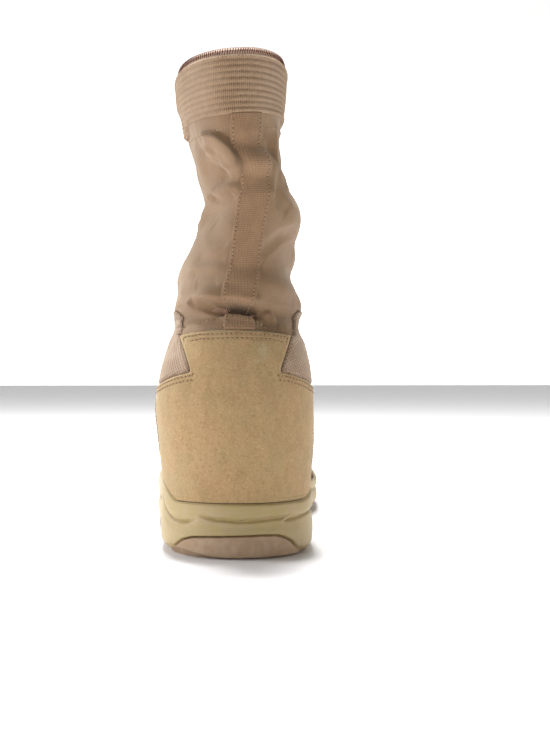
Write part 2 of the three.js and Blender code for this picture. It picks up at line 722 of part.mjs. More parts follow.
// The mesh panel over the ankle, from the counter's stepped edge to the padded collar.
function buildAnklePanel(side) {
  const front = COUNTER_REACH + PANEL_OVERHANG;
  const outline = [[-BEYOND, COUNTER_NOTCH - STEP_DROP],
    [COUNTER_REACH - COUNTER_RAKE, COUNTER_FRONT_TOP - STEP_DROP / 2],
    [front, COUNTER_FRONT_TOP + PANEL_FRONT_RISE],
    [front - PANEL_FRONT_RISE, PANEL_TOP - 2 * COUNTER_RAKE],
    [STEP_REACH + PANEL_BACK, PANEL_TOP - COUNTER_RAKE / 2],
    [PANEL_BACK + PANEL_SLANT, PANEL_TOP], [PANEL_BACK, COUNTER_TOP - EAR_DROP],
    [-BEYOND, COUNTER_TOP - EAR_DROP - 1]];
  const zone = sideViewPrism(outline, side > 0 ? 0 : -WIDE, side > 0 ? WIDE : 0);
  return upperShell(FIT_GAP, FIT_GAP + WEBBING).intersect(zone)
    .subtract(counterZone(2 * FIT_GAP));
}

function buildBackStrap() {
  const last = STRAP_LINE.length - 1;
  const steps = 2 * last;
  const line = ring(steps + 1, (i) => {
    const t = i * last / steps;
    return [readTable(STRAP_LINE, t, 'across') * COLLAR_BREADTH,
      mix(COUNTER_TOP + FIT_GAP, BAND_EDGE - FIT_GAP, readTable(STRAP_LINE, t, 'up'))];
  });
  const right = line.map(([x, z]) => [x + STRAP_WIDTH / 2, z]);
  const left = line.map(([x, z]) => [x - STRAP_WIDTH / 2, z]).reverse();
  return upperShell(FIT_GAP, FIT_GAP + WEBBING)
    .intersect(backViewPrism([...right, ...left], -LAST_LENGTH, LAST_LENGTH * 0.2));
}

function buildToeCap() {
  const edge = LAST_LENGTH - TOE_CAP_LENGTH;
  const tip = LAST_LENGTH + BEYOND;
  const outline = [[edge - TOE_CAP_RAKE, -BEYOND], [tip, -BEYOND], [tip, HIGH / 2],
    [edge + TOE_CAP_RAKE / 2, HIGH / 2]];
  return upperShell(FIT_GAP, FIT_GAP + SUEDE).intersect(sideViewPrism(outline, -WIDE, WIDE))
    .subtract(sideViewPrism(eyestayOutline(2 * FIT_GAP), -WIDE, WIDE));
}

// The padded tongue: the front of the upper's own form, just inside its wall.
function buildTongue() {
  const outer = -UPPER_WALL - FIT_GAP;
  const levels = [...LEVELS.filter((v) => v > 0.33), 1 + TONGUE_RISE / SHAFT_HEIGHT];
  return upperShell(outer - TONGUE_PAD, outer, levels)
    .intersect(throatCutter(TONGUE_OVERLAP));
}

// Lace from one eyelet across the tongue to the next, as a chain of bars on a smooth path.
function laceCrossing(from, to) {
  const radius = LACE_DIAMETER / 2;
  const over = EYESTAY_OUT + EYELET_FLANGE + LACE_LIFT + radius;
  const onTongue = LACE_LIFT - UPPER_WALL + radius;
  const path = ring(LACE_STEPS + 1, (i) => {
    const t = i / LACE_STEPS;
    const sink = ease(0.2, 0.5, t) * ease(0.2, 0.5, 1 - t);
    return upperPoint(mix(from.u, to.u, t), mix(from.v, to.v, t), mix(over, onTongue, sink));
  });
  const curve = new THREE.CatmullRomCurve3(path);
  const section = new THREE.Shape(ring(LACE_SIDES, (i) => {
    const turn = 2 * Math.PI * i / LACE_SIDES;
    return new THREE.Vector2(radius * Math.cos(turn), radius * Math.sin(turn));
  }));
  const geometry = new THREE.ExtrudeGeometry(section,
    { steps: LACE_STEPS, extrudePath: curve, bevelEnabled: false });
  return toSolid(geometry);
}

function buildLace() {
  let lace = null;
  const join = (piece) => {
    lace = lace ? lace.add(piece) : piece;
  };
  const medial = EYELETS.map((row) => ({ u: row.medial, v: row.v }));
  const lateral = EYELETS.map((row) => ({ u: row.lateral, v: row.v }));
  join(laceCrossing(medial[0], lateral[0]));
  for (let i = 0; i + 1 < EYELET_PAIRS; i += 1) {
    join(laceCrossing(medial[i], lateral[i + 1]));
    join(laceCrossing(lateral[i], medial[i + 1]));
  }
  return lace;
}

const material = (color, roughness, metalness = 0) =>
  new THREE.MeshStandardMaterial({ color, roughness, metalness });

const NYLON = material(0xa3835f, 0.8);
const SUEDE_TAN = material(0xb3976b, 0.95);
const WEB_TAN = material(0xa98a6c, 0.85);
const MESH_TAN = material(0xb39478, 0.9);
const RIBBED = material(0xa88b64, 0.85);
const FOAM = material(0xa89a64, 0.75);
const RUBBER = material(0x9f8668, 0.7);
const LINING = material(0x8a6a4c, 0.9);
const CORD = material(0x9a7d58, 0.85);

const PIECES = [
  { name: 'outsole', make: buildOutsole, finish: RUBBER },
  { name: 'midsole', make: buildMidsole, finish: FOAM },
  { name: 'insole', make: buildInsole, finish: LINING },
  { name: 'upper', make: buildUpper, finish: NYLON },
  { name: 'tongue', make: buildTongue, finish: NYLON },
  { name: 'heel_counter', make: buildHeelCounter, finish: SUEDE_TAN },
  { name: 'toe_cap', make: buildToeCap, finish: SUEDE_TAN },
  { name: 'collar_band', make: buildCollarBand, finish: RIBBED },
  { name: 'back_strap', make: buildBackStrap, finish: WEB_TAN },
  { name: 'ankle_panel_medial', make: () => buildAnklePanel(1), finish: MESH_TAN },
  { name: 'ankle_panel_lateral', make: () => buildAnklePanel(-1), finish: MESH_TAN },
  { name: 'eyestay_medial', make: () => buildEyestay(1), finish: SUEDE_TAN },
  { name: 'eyestay_lateral', make: () => buildEyestay(-1), finish: SUEDE_TAN },
  { name: 'lace', make: buildLace, finish: CORD },
];

const group = new THREE.Group();
for (const piece of PIECES) {
  const mesh = new THREE.Mesh(fromSolid(piece.make()), piece.finish);
  mesh.name = piece.name;
  group.add(mesh);
}

// The origin goes to the middle of the boot's box, on the floor.
const box = new THREE.Box3().setFromObject(group);
const centre = box.getCenter(new THREE.Vector3());
group.position.set(-centre.x, -centre.y, -box.min.z);
group.updateMatrixWorld(true);

export default group;
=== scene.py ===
# %% [markdown]
# # A combat boot, seen from behind
#
# The boot stands empty on a pale floor and the camera looks at its heel, level and close.
# Nearly every piece of a boot is a sheet that lies on the last: the nylon shaft, the suede
# round the heel, the ribbed band, the strap. So one surface is worked out first, and each
# piece is then cut out of it, lifted by its own thickness and given its own finish.

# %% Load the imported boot
import bpy
import numpy as np
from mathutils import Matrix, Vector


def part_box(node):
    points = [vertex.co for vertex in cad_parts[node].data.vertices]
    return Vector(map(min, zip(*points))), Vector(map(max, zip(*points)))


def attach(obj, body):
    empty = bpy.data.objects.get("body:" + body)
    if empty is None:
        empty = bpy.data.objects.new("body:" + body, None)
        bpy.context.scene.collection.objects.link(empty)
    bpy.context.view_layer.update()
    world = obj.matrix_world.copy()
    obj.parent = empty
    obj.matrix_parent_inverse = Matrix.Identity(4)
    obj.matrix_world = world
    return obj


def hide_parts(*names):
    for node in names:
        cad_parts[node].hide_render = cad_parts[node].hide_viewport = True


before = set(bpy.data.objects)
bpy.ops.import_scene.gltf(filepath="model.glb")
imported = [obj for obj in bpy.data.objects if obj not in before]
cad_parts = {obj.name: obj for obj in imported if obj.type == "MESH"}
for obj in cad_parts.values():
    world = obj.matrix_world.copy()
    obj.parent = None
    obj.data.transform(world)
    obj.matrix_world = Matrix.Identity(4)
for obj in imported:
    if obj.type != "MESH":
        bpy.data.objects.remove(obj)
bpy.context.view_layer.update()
MM = 0.001
print("packed nodes:", sorted(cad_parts))

# %% [markdown]
# ## The camera
#
# The camera stands 550 mm behind the heel at less than half the boot's height and looks
# level. It stands a little to the outer side and turns a little to the inner side, which
# puts the boot left of the middle of the frame. A camera this close makes the toe, 300 mm
# further away, disappear behind the heel.

# %% Camera
CAMERA_BEHIND = 550.0
CAMERA_HEIGHT = 90.0
CAMERA_ASIDE = -11.0
CAMERA_TURN = np.radians(-2.52)
FIELD_OF_VIEW = np.radians(34.6)
HEEL_BACK = -146.2

camera_data = bpy.data.cameras.new("camera")
camera_data.sensor_fit = "VERTICAL"
camera_data.angle = FIELD_OF_VIEW
camera = bpy.data.objects.new("camera", camera_data)
camera.location = (CAMERA_ASIDE * MM, (HEEL_BACK - CAMERA_BEHIND) * MM, CAMERA_HEIGHT * MM)
camera.rotation_euler = (np.pi / 2, 0, CAMERA_TURN)
bpy.context.collection.objects.link(camera)
bpy.context.scene.camera = camera
print("the camera stands at", [round(part, 3) for part in camera.location])

# %% [markdown]
# ## The last
#
# A boot is built over a last, and this boot has one too: a table of rings that lean from the
# back line to the front line. Between the rings a smooth curve through the table gives every
# other place. u runs round a ring, from the back (0) over the inner side (0.25) to the front
# (0.5), and v runs from the feather line above the sole (0) to the collar (1). All lengths
# are millimetres, with y from the back of the heel towards the toe.

# %% Sizes of the boot
LAST_LENGTH = 290.0
HEEL_BREADTH = 74.5
BALL_LATERAL = 48.0
BALL_MEDIAL = 48.0
ARCH_PINCH = 5.0
TOE_SWING = 7.0
SWING_START = 0.30
TOE_BOX_HEIGHT = 44.0
INSTEP_HEIGHT = 104.0
SHAFT_HEIGHT = 214.0
COLLAR_BREADTH = 55.0
RIM_TILT = 0.09
TILT_START = 0.75
RIM_CURL = 10.0
FOLD_DEPTH = 7.0
HEEL_STACK = 26.0
FOREFOOT_STACK = 20.0
TOE_SPRING = 12.0
BOOT_HEIGHT = HEEL_STACK + SHAFT_HEIGHT

UPPER_WALL = 2.2
SUEDE = 1.4
WEBBING = 1.2
ELASTIC = 1.3
TONGUE_PAD = 3.4
FIT_GAP = 0.3

TOE, INSTEP, SHAFT = TOE_BOX_HEIGHT, INSTEP_HEIGHT, SHAFT_HEIGHT
# back, back rise, front, front rise, over, fullness, shaft, heel round, toe round, lean
SECTIONS = [
    (0.000, 0.000, 1.000, 0.00, TOE, 0.925, 0.00, 0.13, 0.30, 0.018),
    (-0.005, 0.065, 1.004, 0.30, TOE, 0.955, 0.00, 0.13, 0.30, 0.018),
    (-0.007, 0.140, 0.988, 0.62, TOE, 0.983, 0.00, 0.13, 0.31, 0.011),
    (-0.003, 0.224, 0.945, 0.86, TOE, 1.00, 0.00, 0.13, 0.33, 0.000),
    (0.008, 0.299, 0.875, 1.00, TOE, 0.97, 0.05, 0.14, 0.37, 0.010),
    (0.024, 0.364, 0.790, 0.51, INSTEP, 0.94, 0.25, 0.18, 0.44, 0.020),
    (0.041, 0.421, 0.700, 0.63, INSTEP, 0.95, 0.50, 0.25, 0.50, 0.025),
    (0.052, 0.477, 0.620, 0.79, INSTEP, 1.06, 0.75, 0.35, 0.50, 0.030),
    (0.054, 0.533, 0.555, 1.00, INSTEP, 1.04, 1.00, 0.45, 0.50, 0.025),
    (0.050, 0.598, 0.510, 0.565, SHAFT, 0.99, 1.00, 0.50, 0.50, 0.075),
    (0.044, 0.682, 0.482, 0.660, SHAFT, 0.87, 1.00, 0.50, 0.50, 0.150),
    (0.034, 0.776, 0.462, 0.765, SHAFT, 0.77, 1.00, 0.50, 0.50, 0.050),
    (0.022, 0.862, 0.447, 0.860, SHAFT, 0.89, 1.00, 0.50, 0.50, -0.015),
    (0.013, 0.940, 0.436, 0.940, SHAFT, 0.98, 1.00, 0.50, 0.50, -0.030),
    (0.009, 1.000, 0.430, 1.000, SHAFT, 1.00, 1.00, 0.50, 0.50, -0.030),
]
# The big slumps: around, height, half width, half height (shares), swell
FOLDS = [
    (0.83, 0.780, 0.10, 0.070, 0.45),
    (0.86, 0.700, 0.12, 0.035, -0.55),
    (0.78, 0.560, 0.14, 0.080, 0.40),
    (0.17, 0.690, 0.12, 0.070, 0.45),
    (0.99, 0.482, 0.16, 0.028, -0.60),
    (0.02, 0.540, 0.20, 0.040, 0.35),
    (0.19, 0.446, 0.11, 0.032, -0.35),
    (0.80, 0.446, 0.11, 0.032, -0.25),
]
OVAL = 2.1
TOE_BLUNTNESS = 2.6


# %% The surface that every sheet lies on
def mix(a, b, t):
    """From a to b by the share t."""
    return a + (b - a) * t


def ease(low, high, x):
    """0 below low, 1 above high, and a smooth step in between."""
    t = np.clip((x - low) / (high - low), 0, 1)
    return t * t * (3 - 2 * t)


def hump(t):
    """1 in the middle, falling smoothly to 0 at a distance of 1."""
    return np.maximum(0, 1 - t * t) ** 2


def read_column(values, t):
    """The value at row t of a column, on a smooth curve through its rows."""
    values = np.asarray(values, float)
    last = len(values) - 1
    i = np.clip(np.floor(t).astype(int), 0, last - 1)
    s = t - i
    before, here = values[np.maximum(i - 1, 0)], values[i]
    there, after = values[i + 1], values[np.minimum(i + 2, last)]
    slope_a, slope_b, rise = (there - before) / 2, (after - here) / 2, there - here
    curve = (here + s * slope_a + s * s * (3 * rise - 2 * slope_a - slope_b)
             + s ** 3 * (slope_a + slope_b - 2 * rise))
    past = values[last] + (values[last] - values[last - 1]) * (t - last)
    return np.where(t > last, past, curve)


def toe_lift(y):
    """How far the sole has left the floor: a curve that starts at three quarters."""
    return TOE_SPRING * np.maximum(0, (y / LAST_LENGTH - 0.76) / 0.24) ** 1.8


def sole_top(y):
    """Height of the feather line: a ramp from the heel's stack to the forefoot's, and the toe."""
    return mix(HEEL_STACK, FOREFOOT_STACK, ease(0.25, 0.62, y / LAST_LENGTH)) + toe_lift(y)


def last_half(y, medial):
    """Half breadth of the last: heel to ball on either side, pinched in at the inner arch."""
    along = y / LAST_LENGTH
    outer = mix(HEEL_BREADTH / 2, BALL_LATERAL, ease(0.14, 0.62, along))
    inner = mix(HEEL_BREADTH / 2, BALL_MEDIAL, ease(0.40, 0.70, along))
    return np.where(medial, inner - ARCH_PINCH * hump((along - 0.40) / 0.24), outer)


def round_end(distance, length, power):
    """A superellipse end: 0 at the tip and 1 from the given length on."""
    t = np.clip(1 - distance / length, 0, 1)
    return (1 - t ** power) ** (1 / power)


RING_COLUMNS = [np.array(column) for column in zip(*SECTIONS)]
RING_COLUMNS[3] = RING_COLUMNS[3] * RING_COLUMNS[4]


def surface(u, v):
    """The last at (u, v): along the ring by the cosine of the turn, across by the breadth."""
    t = v * (len(SECTIONS) - 1)
    back, back_up, front, front_rise, _, full, shaft, heel_round, toe_round, lean = (
        read_column(column, t) for column in RING_COLUMNS)
    turn = 2 * np.pi * u
    back_y = back * LAST_LENGTH
    length = front * LAST_LENGTH - back_y
    share = (1 - np.cos(turn)) / 2
    y = back_y + length * share
    medial = np.sin(turn) >= 0
    shaft = np.clip(shaft, 0, 1)
    half = mix(last_half(y, medial), COLLAR_BREADTH / 2, shaft) * full
    ends = (round_end(length * share, length * heel_round, OVAL)
            * round_end(length * (1 - share), length * toe_round,
                        mix(OVAL, TOE_BLUNTNESS, 1 - shaft)))
    swing = TOE_SWING * ease(SWING_START, 1, y / LAST_LENGTH) * (1 - shaft)
    aside = np.where(medial, 1, -1) * half * ends
    x = aside + swing + lean * COLLAR_BREADTH
    z = (sole_top(y) + mix(back_up * SHAFT_HEIGHT, front_rise, ease(0, 1, share))
         + RIM_TILT * aside * ease(TILT_START, 1, v)
         + RIM_CURL * (aside / COLLAR_BREADTH) ** 2 * ease(0.9, 1, v) * ease(80, 30, y))
    return np.stack([x, y, z], -1)


def outward(u, v):
    """Unit normal, from the cross product of the steps along u and v."""
    step = 1e-3
    low = np.maximum(0, v - step)
    n = np.cross(surface(u + step, v) - surface(u - step, v),
                 surface(u, v + step) - surface(u, low))
    flat = np.maximum(ease(0.02, 0, v), ease(0.985, 1, v))
    n[..., 2] *= 1 - flat
    return n / np.linalg.norm(n, axis=-1, keepdims=True)


def slump(u, z):
    """The big soft folds: a sum of oval humps and hollows."""
    total = 0
    for around, up, wide, tall, swell in FOLDS:
        aside = np.abs(u - around) % 1
        aside = np.minimum(aside, 1 - aside) / wide
        total = total + swell * FOLD_DEPTH * hump(
            np.minimum(1, np.hypot(aside, (z / BOOT_HEIGHT - up) / tall)))
    return total


print("ball of the last:", surface(np.array([0.3, 0.7]), np.array([0.1, 0.1])).round(1))

# %% [markdown]
# ## From the drawing to the frame
#
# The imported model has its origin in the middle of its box. The middle of the upper's box, on
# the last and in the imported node, says how far the drawing has to move, so nothing is fitted
# by eye.

# %% Place of the drawing in the frame
RING_CORNERS = 34
ring_u = np.arange(RING_CORNERS) / RING_CORNERS
ring_v = np.arange(len(SECTIONS)) / (len(SECTIONS) - 1)
corner_u, corner_v = (a.ravel() for a in np.meshgrid(ring_u, ring_v))
corners = surface(corner_u, corner_v)
corners += outward(corner_u, corner_v) * slump(corner_u, corners[:, 2])[:, None]
upper_low, upper_high = (np.array(corner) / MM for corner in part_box("upper"))
ORIGIN = (corners.min(0) + corners.max(0) - upper_low - upper_high) / 2
ORIGIN[2] = 0
print("the frame's origin in the drawing:", ORIGIN.round(2))

# %% [markdown]
# ## Sheets cut out of the last
#
# A real upper is cut from flat stock and sewn. Here each sheet starts as a fine grid over
# (u, v). A value says how many millimetres a place lies inside the sheet's outline, and the
# triangles are cut exactly where that value is zero, so an edge is a clean line and never a
# staircase. More rows of corners are cut in along the edge, where it rolls over and where a
# seam presses in. The inner face is a copy of the outer one, and both share the edge.

# %% Grids and cuts
# a corner closer to a cut than this is moved off it, so that no sliver is made
NUDGE = 0.03


def grid(u_places, v_places, at):
    """Two triangles for each cell, with s, the length round the ring from the back in mm."""
    v, u = np.meshgrid(v_places, u_places, indexing="ij")
    place = at(u, v)
    step = np.linalg.norm(np.diff(place, axis=1), axis=-1)
    s = np.concatenate([np.zeros((len(v_places), 1)), np.cumsum(step, 1)], 1)
    middle = np.argmin(np.abs(u_places))
    s = s - s[:, middle:middle + 1]
    a = (np.arange(len(v_places) - 1)[:, None] * len(u_places)
         + np.arange(len(u_places) - 1)[None, :]).ravel()
    up = len(u_places)
    tri = np.concatenate([np.stack([a, a + 1, a + up + 1], 1),
                          np.stack([a, a + up + 1, a + up], 1)])
    return {"u": u.ravel(), "v": v.ravel(), "s": s.ravel(), "tri": tri}


def cut_along(sheet, name, level):
    """Every triangle that the line name = level crosses is split into three along it."""
    value = sheet[name] - level
    value = np.where(np.abs(value) < NUDGE, NUDGE, value)
    tri = sheet["tri"]
    up = value[tri] > 0
    mixed = (up.any(1)) & (~up.all(1))
    crossed, sides = tri[mixed], up[mixed]
    if not len(crossed):
        return sheet
    lone = np.argmax(sides == (sides.sum(1) == 1)[:, None], axis=1)
    row = np.arange(len(crossed))
    a, b, c = (crossed[row, (lone + k) % 3] for k in range(3))
    edges = np.sort(np.concatenate([np.stack([a, b], 1), np.stack([a, c], 1)]), axis=1)
    count = len(value)
    _, first, which = np.unique(edges[:, 0] * count + edges[:, 1],
                                return_index=True, return_inverse=True)
    low, high = edges[first].T
    t = value[low] / (value[low] - value[high])
    made = {k: np.concatenate([old, mix(old[low], old[high], t)])
            for k, old in sheet.items() if k != "tri"}
    p, q = count + which[:len(a)], count + which[len(a):]
    made["tri"] = np.concatenate([tri[~mixed], np.stack([a, p, q], 1),
                                  np.stack([p, b, c], 1), np.stack([p, c, q], 1)])
    return made


def keep(sheet, inside):
    """Only the triangles whose middle passes, and the corners that they use."""
    tri = sheet["tri"][inside[sheet["tri"]].mean(1) > 0]
    used, new = np.unique(tri, return_inverse=True)
    kept = {k: old[used] for k, old in sheet.items() if k != "tri"}
    kept["tri"] = new.reshape(-1, 3)
    return kept


def inside_outline(outline, a, b):
    """How far (a, b) lies inside a closed outline: the distance to its nearest side."""
    corner = np.asarray(outline, float)
    after = np.roll(corner, -1, 0)
    nearest = np.full(a.shape, np.inf)
    within = np.zeros(a.shape, bool)
    for (x0, y0), (x1, y1) in zip(corner, after):
        dx, dy = x1 - x0, y1 - y0
        t = np.clip(((a - x0) * dx + (b - y0) * dy) / (dx * dx + dy * dy + 1e-12), 0, 1)
        nearest = np.minimum(nearest, np.hypot(a - x0 - t * dx, b - y0 - t * dy))
        crosses = (y0 > b) != (y1 > b)
        within ^= crosses & (a < dx * (b - y0) / (dy if dy else 1e-12) + x0)
    return np.where(within, nearest, -nearest)


# %% [markdown]
# ## From corners to a piece
#
# A piece that rides on the frame stands at the origin and is measured in metres. So every
# mesh is made by one function, and another gives each piece its material and the imported
# nodes that it stands for.

# %% From corners to an object
def make_object(name, places, faces, uv=None, values=None, smooth=True):
    """Puts corners in mm of the drawing into a mesh of the frame, at the origin, in metres."""
    mesh = bpy.data.meshes.new(name)
    faces = faces.tolist() if isinstance(faces, np.ndarray) else faces
    mesh.from_pydata(((places.reshape(-1, 3) - ORIGIN) * MM).tolist(), [], faces)
    if uv is not None:
        layer = mesh.uv_layers.new(name="sheet")
        corner = np.empty(len(mesh.loops), np.int32)
        mesh.loops.foreach_get("vertex_index", corner)
        layer.data.foreach_set("uv", uv[corner].astype(np.float32).ravel())
    for key, value in (values or {}).items():
        layer = mesh.attributes.new(key, "FLOAT", "POINT")
        layer.data.foreach_set("value", value.astype(np.float32))
    mesh.polygons.foreach_set("use_smooth", np.full(len(mesh.polygons), smooth))
    mesh.validate()
    mesh.update()
    piece = bpy.data.objects.new(name, mesh)
    bpy.context.collection.objects.link(piece)
    return piece


def dress(piece, slot, material, *nodes):
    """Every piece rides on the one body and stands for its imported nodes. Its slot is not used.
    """
    piece.data.materials.clear()
    piece.data.materials.append(material)
    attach(piece, "root")
    if nodes:
        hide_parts(*nodes)
    print(piece.name, "has", len(piece.data.polygons), "faces")
    return piece


def quads(rows, count, ring=True, stack=False):
    """Faces between neighbouring rows of count corners each. A ring closes from the last
    corner of a row to its first, and a closed stack from the last row to the first."""
    j, i = np.meshgrid(np.arange(rows if stack else rows - 1),
                       np.arange(count if ring else count - 1), indexing="ij")
    low, high = j * count, (j + 1) % rows * count
    after = (i + 1) % count
    return np.stack([low + i, low + after, high + after, high + i], -1).reshape(-1, 4)


# %% [markdown]
# ## A sheet with a thickness
#
# Cloth and suede have a thickness, and their edge is turned or worn round. The outer face
# comes down to the inner one in a quarter circle, on a few extra rows of corners, and both
# faces share the row at the very edge. So every piece is closed and has no open border.

# %% From a sheet to a piece
# rows of corners in the rolled edge, as shares of its width
ROLL_STEPS = (0.0, 0.12, 0.45, 1.0)
# the inner face takes this share of a fold, and stays at least this far under the outer
INNER_SHARE = 0.75
LEAST_WALL = 0.05
# in metres
WELD_WITHIN = 2e-6


def cloth_shell(name, places_uv, field, inner, outer, relief=None, roll=None, rows=(),
                follow=1.0, body=None, flaps=True, marks=None):
    """A closed sheet. At a depth d from its edge the outer face stands at the outer offset
    less a quarter circle of radius roll, so that the edge turns over and meets the inner
    face. relief adds a height to the outer face, body is the surface and its normal, and
    marks gives more values for the material."""
    at, away = body or (surface, outward)
    sheet = grid(*places_uv, at)
    place = at(sheet["u"], sheet["v"])
    sheet["edge"] = field(sheet, place)
    thick = outer - inner
    roll = roll or thick
    for level in (*(step * roll for step in ROLL_STEPS), *rows):
        sheet = cut_along(sheet, "edge", level)
    sheet = keep(sheet, sheet["edge"] > -1e-6)
    sheet["edge"] = np.maximum(sheet["edge"], 0)
    u, v, edge = sheet["u"], sheet["v"], sheet["edge"]
    place, normal = at(u, v), away(u, v)
    base = np.zeros(len(u)) if body else slump(u, place[:, 2]) + creases(sheet, place, flaps)
    base = np.minimum(base, follow * base)
    depth = 1 - np.clip(edge / roll, 0, 1)
    outside = inner + thick * np.sqrt(np.maximum(0, 1 - depth ** 2)) + base
    inside = inner + INNER_SHARE * base
    if relief is not None:
        outside = outside + relief(sheet, place) * (edge > 0)
    shared = np.zeros(len(u), bool)
    shared[border_corners(sheet["tri"])] = True
    shared &= edge < NUDGE
    inside = np.where(shared, outside, np.minimum(inside, outside - LEAST_WALL))
    twin = np.where(shared, np.arange(len(u)), len(u) + np.cumsum(~shared) - 1)
    places = np.concatenate([place + normal * outside[:, None],
                             (place + normal * inside[:, None])[~shared]])
    faces = np.concatenate([sheet["tri"], twin[sheet["tri"]][:, ::-1]])
    flat = np.stack([sheet["s"], place[:, 2]], 1)
    both = lambda a: np.concatenate([a, a[~shared]])
    values = {"edge": edge, **(marks(sheet, place) if marks else {})}
    piece = make_object(name, places, faces, both(flat) * MM,
                        {key: both(value) for key, value in values.items()})
    weld(piece)
    sheet["outer"], sheet["normal"] = place + normal * outside[:, None], normal
    sheet["place"] = place
    return piece, sheet


def border_corners(tri):
    """Corners of the edges that only one triangle uses."""
    edges = np.sort(np.concatenate([tri[:, :2], tri[:, 1:], tri[:, ::2]]), axis=1)
    key, count = np.unique(edges[:, 0] * (tri.max() + 1) + edges[:, 1], return_counts=True)
    lone = key[count == 1]
    return np.unique(np.concatenate([lone // (tri.max() + 1), lone % (tri.max() + 1)]))


def weld(piece):
    """Joins the two ends of a ring, whose corners coincide, with a modifier applied at once."""
    bpy.context.view_layer.objects.active = piece
    joined = piece.modifiers.new("weld", "WELD")
    joined.merge_threshold = WELD_WITHIN
    bpy.ops.object.modifier_apply(modifier=joined.name)


# %% [markdown]
# ## Creases
#
# The shaft has slumped. Its big folds are in the last, and the smaller ones are listed one
# line each: a soft ridge, a soft trough, or a ledge, which rises slowly and drops at once.
# Every sheet on the shaft reads the same table, so the strap bends over the same ledge as the
# nylon below it. A flap is a ledge of the nylon alone, which laps over what is sewn on it. s
# is the way round from the middle of the back, in mm.

# %% Creases
RIDGE, FLAP, LEDGE = 0, 1, 2
